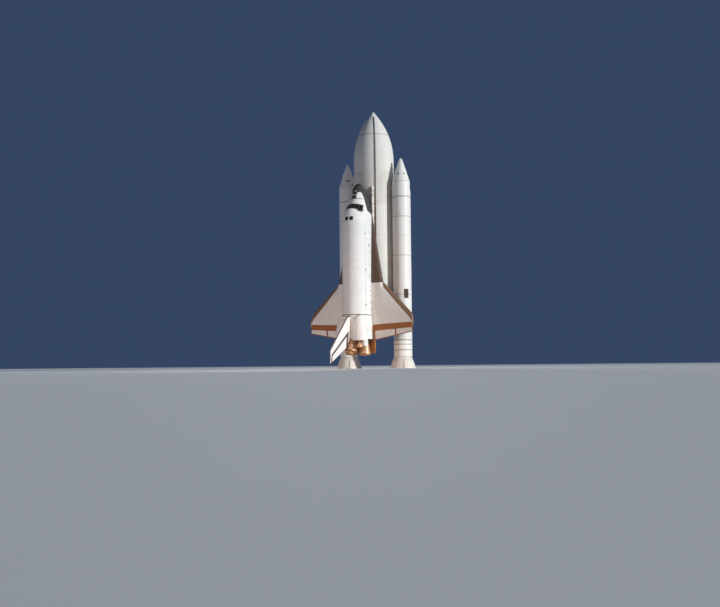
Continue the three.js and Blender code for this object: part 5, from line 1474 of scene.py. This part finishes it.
# %% Pods
POD = dict(
    xo=[1311, 1330, 1370, 1430, 1500, 1513],
    yo=[62, 65, 69, 73, 75, 76],
    zo=[474, 474, 473, 472, 472, 473],
    wide=[22, 36, 50, 58, 60, 55],
    high=[22, 36, 49, 57, 58, 53],
)
POD_BELL = [[-6, 0.2], [-6, 15], [0, 16], [1, 12.5], [3, 8.4], [8, 8.0], [14, 11.4], [26, 17.0],
            [40, 21.0], [54, 23.6], [54, 22.9], [40, 20.2], [26, 16.2], [14, 10.6], [9, 6.8], [4, 0.2]]


def body_envelope(grown):
    """The body's outline grown a little and carried aft, to cut what sits on it."""
    rings = ring_section([1290, 1307, 1340, 1400, 1450, 1500], 96, -grown)
    return solid(np.concatenate([rings, rings[-1:] - [0, 0, 70 * INCH]]))


def pod(s):
    """Ellipses along the body, and their size opens from the tip as the root of the distance."""
    tip = 1303 + 8 * np.linspace(0, 1, 6) ** 2
    xo = np.concatenate([tip, np.linspace(1316, 1500, 36), [1506, 1510, 1512.4, 1513]])[:, None]
    row = row_of(POD, xo)
    opened = np.sqrt(np.clip((xo - 1302.6) / 22, 0, 1))
    yo = row["yo"] + row["wide"] * opened * np.cos(circle(72))
    return solid(orb(xo, s * yo, row["zo"] + row["high"] * opened * np.sin(circle(72))))


def pod_mouths(s):
    """Thruster mouths that point outwards, up, down and aft."""
    outer = ((1496, 484), (1508, 484), (1520, 484), (1532, 476))
    made = [mouth(orb(xo, s * 132, zo), (s, 0, 0), 4.0) for xo, zo in outer]
    for xo in (1500, 1514, 1528):
        made += [mouth(orb(xo, s * 118, zo), (0, y, 0), 3.6) for zo, y in ((440, 1), (496, -1))]
    return made + [mouth(orb(1556, s * yo, zo), DOWN, 2.6) for yo, zo in ((114, 458), (122, 470))]


for s, word in SIDES:
    piece = add("pod_" + word, pod(s), white_tile, node="manoeuvring_pod_" + word)
    carve(piece, body_envelope(0.3))
    xo = stations(piece)[0]
    mark(piece, "black", np.maximum(xo - 1511.5, 1315 - xo))
    housing = block(orb(1518, s * 118, 468), [28, 56, 76], bevel=0.28)
    add("thruster_housing_" + word, housing, white_tile)
    add("aft_thrusters_" + word, merged(*pod_mouths(s)), recess_dark)
    start = orb(1512, s * 80, 486)
    add("pod_bell_" + word, turned(start, orb(1566, s * 84, 494) - start, POD_BELL, 56), bell_metal)
print("pods done")

# %% [markdown]
# ## Main engines
# Each bell is a wall of thin cooling tubes held by hat bands, under a crowded powerhead. Ninety separate
# tubes would be heavy and full of gaps, so the radius waves with the angle instead. An engine turns on its
# gimbal, so its bell, bands, head and pipes are all made round its own axis and ride on its own body.

# %% Engine bells
BELL_TUBES = 90
ENGINE_LENGTH = 157.0
THROAT = 34
BANDS = [62, 78, 93, 107, 120, 132, 143, 155.4]


def bell_radius(s):
    """10 inches at the throat and 45.5 at the exit, opening as the power 0.62 of the distance."""
    return 10 + 35.5 * np.clip((s - THROAT) / (ENGINE_LENGTH - THROAT), 0, 1) ** 0.62


def engine_bell(start, aft):
    """A closed wall: its outer radius is the bell's plus 1.2 plus a tube's height, 0.35 |cos|."""
    cols = BELL_TUBES * 3
    s = np.concatenate([np.linspace(THROAT, 60, 12), np.linspace(64, 156, 22), [ENGINE_LENGTH]])
    tubes = 0.35 * np.abs(np.cos(np.linspace(0, math.pi * BELL_TUBES, cols, endpoint=False)))
    outer = bell_radius(s)[:, None] + 1.2 + tubes
    inner = bell_radius(s[::-1])[:, None] + 0.15 * tubes
    grid = round_axis(start, aft, np.concatenate([s, s[::-1]]), np.concatenate([outer, inner]), cols)
    return solid(np.concatenate([grid, grid[:1]]), ends=False)


def engine_bands(start, aft):
    """Hat bands round the bell: a low ridge each, and a higher one at the exit."""
    made = []
    for where in BANDS:
        r = bell_radius(where) + 1.3
        out = 1.7 if where > 150 else 1.5
        rows = [[-1.3, r - 0.6], [-1.0, r + out - 0.5], [1.0, r + out - 0.4], [1.3, r - 0.3]]
        made.append(turned(start + aft * where * INCH, aft, rows, 80, ends=False))
    return merged(*made)


print("bell radius at the exit:", bell_radius(ENGINE_LENGTH), "inches")

# %% Engine heads and pipes
HEAD_ROWS = [[-7, 0.2], [-7, 9], [-6, 13], [-3, 14], [0, 17.5], [1, 20.4], [4, 21], [16, 21],
             [19, 20], [21, 16], [26, 13.5], [31, 12], [34.5, 11.4], [36, 11.2], [36, 5], [37, 0.2]]
PUMPS = [(20, 15, 6.5, -4, 26), (140, 15, 6.5, -4, 26), (255, 16, 4.6, -2, 30),
         (315, 16, 4.2, 2, 28), (80, 17, 4.0, 0, 24), (200, 17, 4.2, 0, 27)]
HEAD_PIPES = [(10, 150, 2.4), (130, 110, 2.6), (240, 130, 2.2), (300, -120, 2.0)]


def engine_head(start, aft):
    """A turned body over the throat, and six round pumps that stand about it."""
    along, one, two = basis(aft)
    made = [turned(start, aft, HEAD_ROWS, 48)]
    for degrees, radius, size, low, high in PUMPS:
        a = math.radians(degrees)
        offset = (math.cos(a) * one + math.sin(a) * two) * radius * INCH
        rows = [[low, 0.2], [low, size * 0.7], [low + 2, size],
                [high - 4, size], [high, size * 0.6], [high, 0.2]]
        made.append(turned(start + offset, aft, rows, 24))
    return merged(*made)


def engine_pipes(start, aft):
    """Pipes that wind round the head: the angle grows with the distance, and the radius clears the bell."""
    along, one, two = basis(aft)
    s = np.linspace(18, 60, 26)
    share = (s - 18) / 42
    made = []
    for degrees, sweep, out in HEAD_PIPES:
        a = np.radians(degrees + sweep * share)
        r = np.maximum(bell_radius(s) + 0.9 + out, 14.5 + 6 * np.cos(share * math.pi / 2))
        path = np.outer(s, along) + np.outer(r * np.cos(a), one) + np.outer(r * np.sin(a), two)
        made.append(pipe(start + path * INCH, out * 0.75, 12))
    return merged(*made)


print("pumps and pipes on a head:", len(PUMPS), len(HEAD_PIPES))

# %% Engine pieces
for label, (start, aft) in ENGINES.items():
    body = "main_engine_" + label
    add("engine_bell_" + label, engine_bell(start, aft), bell_metal, body, body, angle=60)
    add("engine_bands_" + label, engine_bands(start, aft), pipe_metal, body)
    add("engine_head_" + label, engine_head(start, aft), pipe_metal, body)
    add("engine_pipes_" + label, engine_pipes(start, aft), pipe_metal, body)
print("main engines:", len(ENGINES))

# %% [markdown]
# ## Fin and rudder
# A swept fin with a dark leading edge. Its rudder is two panels that turn together, or split apart as an air
# brake. One solid cut in two would show raw faces when it splits, so each panel is a closed form with its
# own dark edge. Fin and rudder take their places from one hinge line, a straight line in height.

# %% Fin shape
FIN = dict(zo=[500, 540, 800, 812, 816], lead=[1312, 1317, 1575, 1589, 1604],
           trail=[1545, 1564, 1691, 1697, 1697], half=[13, 12, 5.6, 4, 2])
FIN_SHARE = [0, 0.004, 0.012, 0.05, 0.12, 0.2, 0.3, 0.42, 1]
FIN_HALF = [0.02, 0.13, 0.2, 0.38, 0.56, 0.72, 0.88, 1, 0.16]
RUDDER_ENDS = (560.5, 787.8)
RUDDER_COVER = 0.83


def fin_row(zo):
    """The fin's edges and half thickness at a height."""
    return row_of(FIN, zo, "zo", np.interp)


def fin_hinge(zo):
    """The rudder's hinge line, which leans aft by 0.693 inch for each inch of height."""
    return 1439 + (zo - 503) * 0.693


def rudder_half(zo):
    """Half the rudder's thickness at its hinge, less towards the tip."""
    return 8.87 - (zo - 540) * 0.0182


def before_rudder(zo):
    """Where the fin ends ahead of the rudder, with room for its nose to turn."""
    return fin_hinge(zo) - rudder_half(zo) * 1.6


def whole_chord(zo):
    """The fin's trailing edge."""
    return fin_row(zo)["trail"]


def fin_part(zo, until):
    """A stretch of fin between two heights: its half thickness is a curve of the share of the chord."""
    zo = np.asarray(zo, float)[:, None]
    row = fin_row(zo)
    q = (1 - np.cos(np.linspace(0, math.pi / 2, 26))) ** 1.2
    xo = row["lead"] + (until(zo) - row["lead"]) * q
    share = (xo - row["lead"]) / (row["trail"] - row["lead"])
    half = np.maximum(row["half"] * np.interp(share, FIN_SHARE, FIN_HALF), 0.15)
    xo = np.concatenate([xo, xo[:, ::-1]], 1)
    return solid(orb(xo, np.concatenate([half, -half[:, ::-1]], 1), zo))


print("hinge line at the fin's tip: XO", round(fin_hinge(816), 1))

# %% Fin pieces
lower = fin_part(np.linspace(500, 556, 12), whole_chord)
upper = [fin_part(np.linspace(556, 794, 40), before_rudder),
         fin_part([794, 800, 806, 812, 814, 816], whole_chord)]
fins = [add("fin_skin", lower, fin_tile, node="vertical_tail", angle=40),
        add("fin_upper_skin", merged(*upper), fin_tile, angle=40)]
for cant in (16.0, 26.5):
    rise = math.radians(cant)
    sweep = [[30, 0.1], [30, 30], [169, 54], [169, 0.1]]
    carve(fins[0], turned(orb(1445, 0, 443), (0, -math.sin(rise), -math.cos(rise)), sweep, 48))
for piece in fins:
    xo, yo, zo = stations(piece)
    row = fin_row(zo)
    groove = np.where((zo > 540) & (zo < 800), 11 - (before_rudder(zo) - xo), NONE)
    lead = np.interp(zo, [500, 816], [15, 12]) - (xo - row["lead"])
    mark(piece, "dark", np.maximum.reduce([lead, xo - (row["trail"] - 4), zo - 809, groove]))
print("fin height:", FIN["zo"][-1] - FIN["zo"][0], "inches")

# %% Rudder
LUGS = ((0.12, 5.0), (0.5, 4.2), (0.86, 3.4))


def rudder(s):
    """A panel: its outer face tapers to the trailing edge, its inner face is flat, and its nose is a thin
    wall ahead of the hinge."""
    zo = np.linspace(*RUDDER_ENDS, 30)[:, None]
    back = fin_row(zo)["trail"] - fin_hinge(zo)
    half = rudder_half(zo)
    q = np.concatenate([[-0.9, -0.89, -0.45, 0], np.linspace(0, 1, 15)[1:]])
    aft = np.where(q < 0, q * half * RUDDER_COVER / 0.9, q * back)
    outer = half - (half - 1.6) / back * aft
    wall = np.where(q < -0.895, 0.6, 0.45)
    inner = np.where(q <= 0, outer - wall, 0.3)
    yo = np.concatenate([outer, inner[:, :3:-1], np.full_like(zo, 0.3), inner[:, 3::-1]], 1)
    aft = np.concatenate([aft, aft[:, :3:-1], np.zeros_like(zo), aft[:, 3::-1]], 1)
    return solid(orb(fin_hinge(zo) + aft, s * yo, zo))


for s, word in SIDES:
    body = "rudder_" + word
    panel = add(body + "_skin", rudder(s), fin_tile, body, body)
    xo, yo, zo = stations(panel)
    edges = [7 - (xo - fin_hinge(zo) + rudder_half(zo) * RUDDER_COVER), 4 - (whole_chord(zo) - xo),
             5 - within(zo, *RUDDER_ENDS), 1.2 - np.abs(yo)]
    mark(panel, "dark", np.maximum.reduce(edges))

low, high = orb(fin_hinge(556), 0, 556), orb(fin_hinge(794), 0, 794)
lugs = [drum(low + (high - low) * t, high - low, -3, 3, radius * 0.8) for t, radius in LUGS]
add("rudder_hinge_lugs", merged(*lugs), recess_dark)
print("rudder lugs:", len(lugs))

# %% [markdown]
# ## Floor and light
# A plain pale floor, a low key light from the right as in the photograph, and three wide soft panels: one
# on the left, a warm low one in front, and one behind. The world gives a faint cool fill. A sun lamp is the
# key, because its shadows stay parallel over so tall an object. The Standard view keeps the blacks deep.

# %% Floor and world
REACH = 900.0
CORNERS = [(-REACH, -REACH, 0), (REACH, -REACH, 0), (REACH, REACH, 0), (-REACH, REACH, 0)]

floor_mesh = bpy.data.meshes.new("floor")
floor_mesh.from_pydata(CORNERS, [], [(0, 1, 2, 3)])
pale = bpy.data.materials.new("floor_pale")
pale.use_nodes = True
pale_shader = pale.node_tree.nodes["Principled BSDF"].inputs
pale_shader["Base Color"].default_value = (0.78, 0.775, 0.76, 1)
pale_shader["Roughness"].default_value = 0.9
floor_mesh.materials.append(pale)
link("floor", floor_mesh)

scene.world = bpy.data.worlds.new("studio")
scene.world.use_nodes = True
fill = scene.world.node_tree.nodes["Background"].inputs
fill["Color"].default_value = (0.27, 0.46, 0.95, 1)
fill["Strength"].default_value = 0.13
scene.view_settings.view_transform = "Standard"
print("floor and world ready")

# %% Lights
KEY_TURN = math.radians(27.5 + 59)
KEY_RISE = math.radians(16)


def aim(light, direction):
    """Turn a light so that it shines against a direction."""
    light.rotation_euler = Vector(direction).to_track_quat("Z", "Y").to_euler()


def panel_light(name, place, target, size, energy, colour, spread):
    """A large square light that faces a point and isn't seen itself."""
    data = bpy.data.lights.new(name, "AREA")
    data.size = size
    data.spread = math.radians(spread)
    data.energy = energy
    data.color = colour
    light = link(name, data)
    light.location = place
    light.visible_camera = False
    aim(light, Vector(place) - Vector(target))


key_data = bpy.data.lights.new("key", "SUN")
key_data.energy = 3.35
key_data.angle = math.radians(1.5)
key_data.color = (0.97, 0.99, 0.97)
level = math.cos(KEY_RISE)
aim(link("key", key_data), (math.sin(KEY_TURN) * level, -math.cos(KEY_TURN) * level, math.sin(KEY_RISE)))

panel_light("left_fill", (-34, -46, 12), (0, 0, 6), 18, 380, (0.98, 0.93, 0.92), 70)
panel_light("low_fill", (12, -44, 9), (0, -1, 1), 14, 640, (1.0, 0.66, 0.44), 52)
panel_light("back_fill", (-60, 110, 60), (0, 0, 13), 40, 4300, (0.92, 0.96, 1.0), 50)
print("lights:", len(bpy.data.lights))
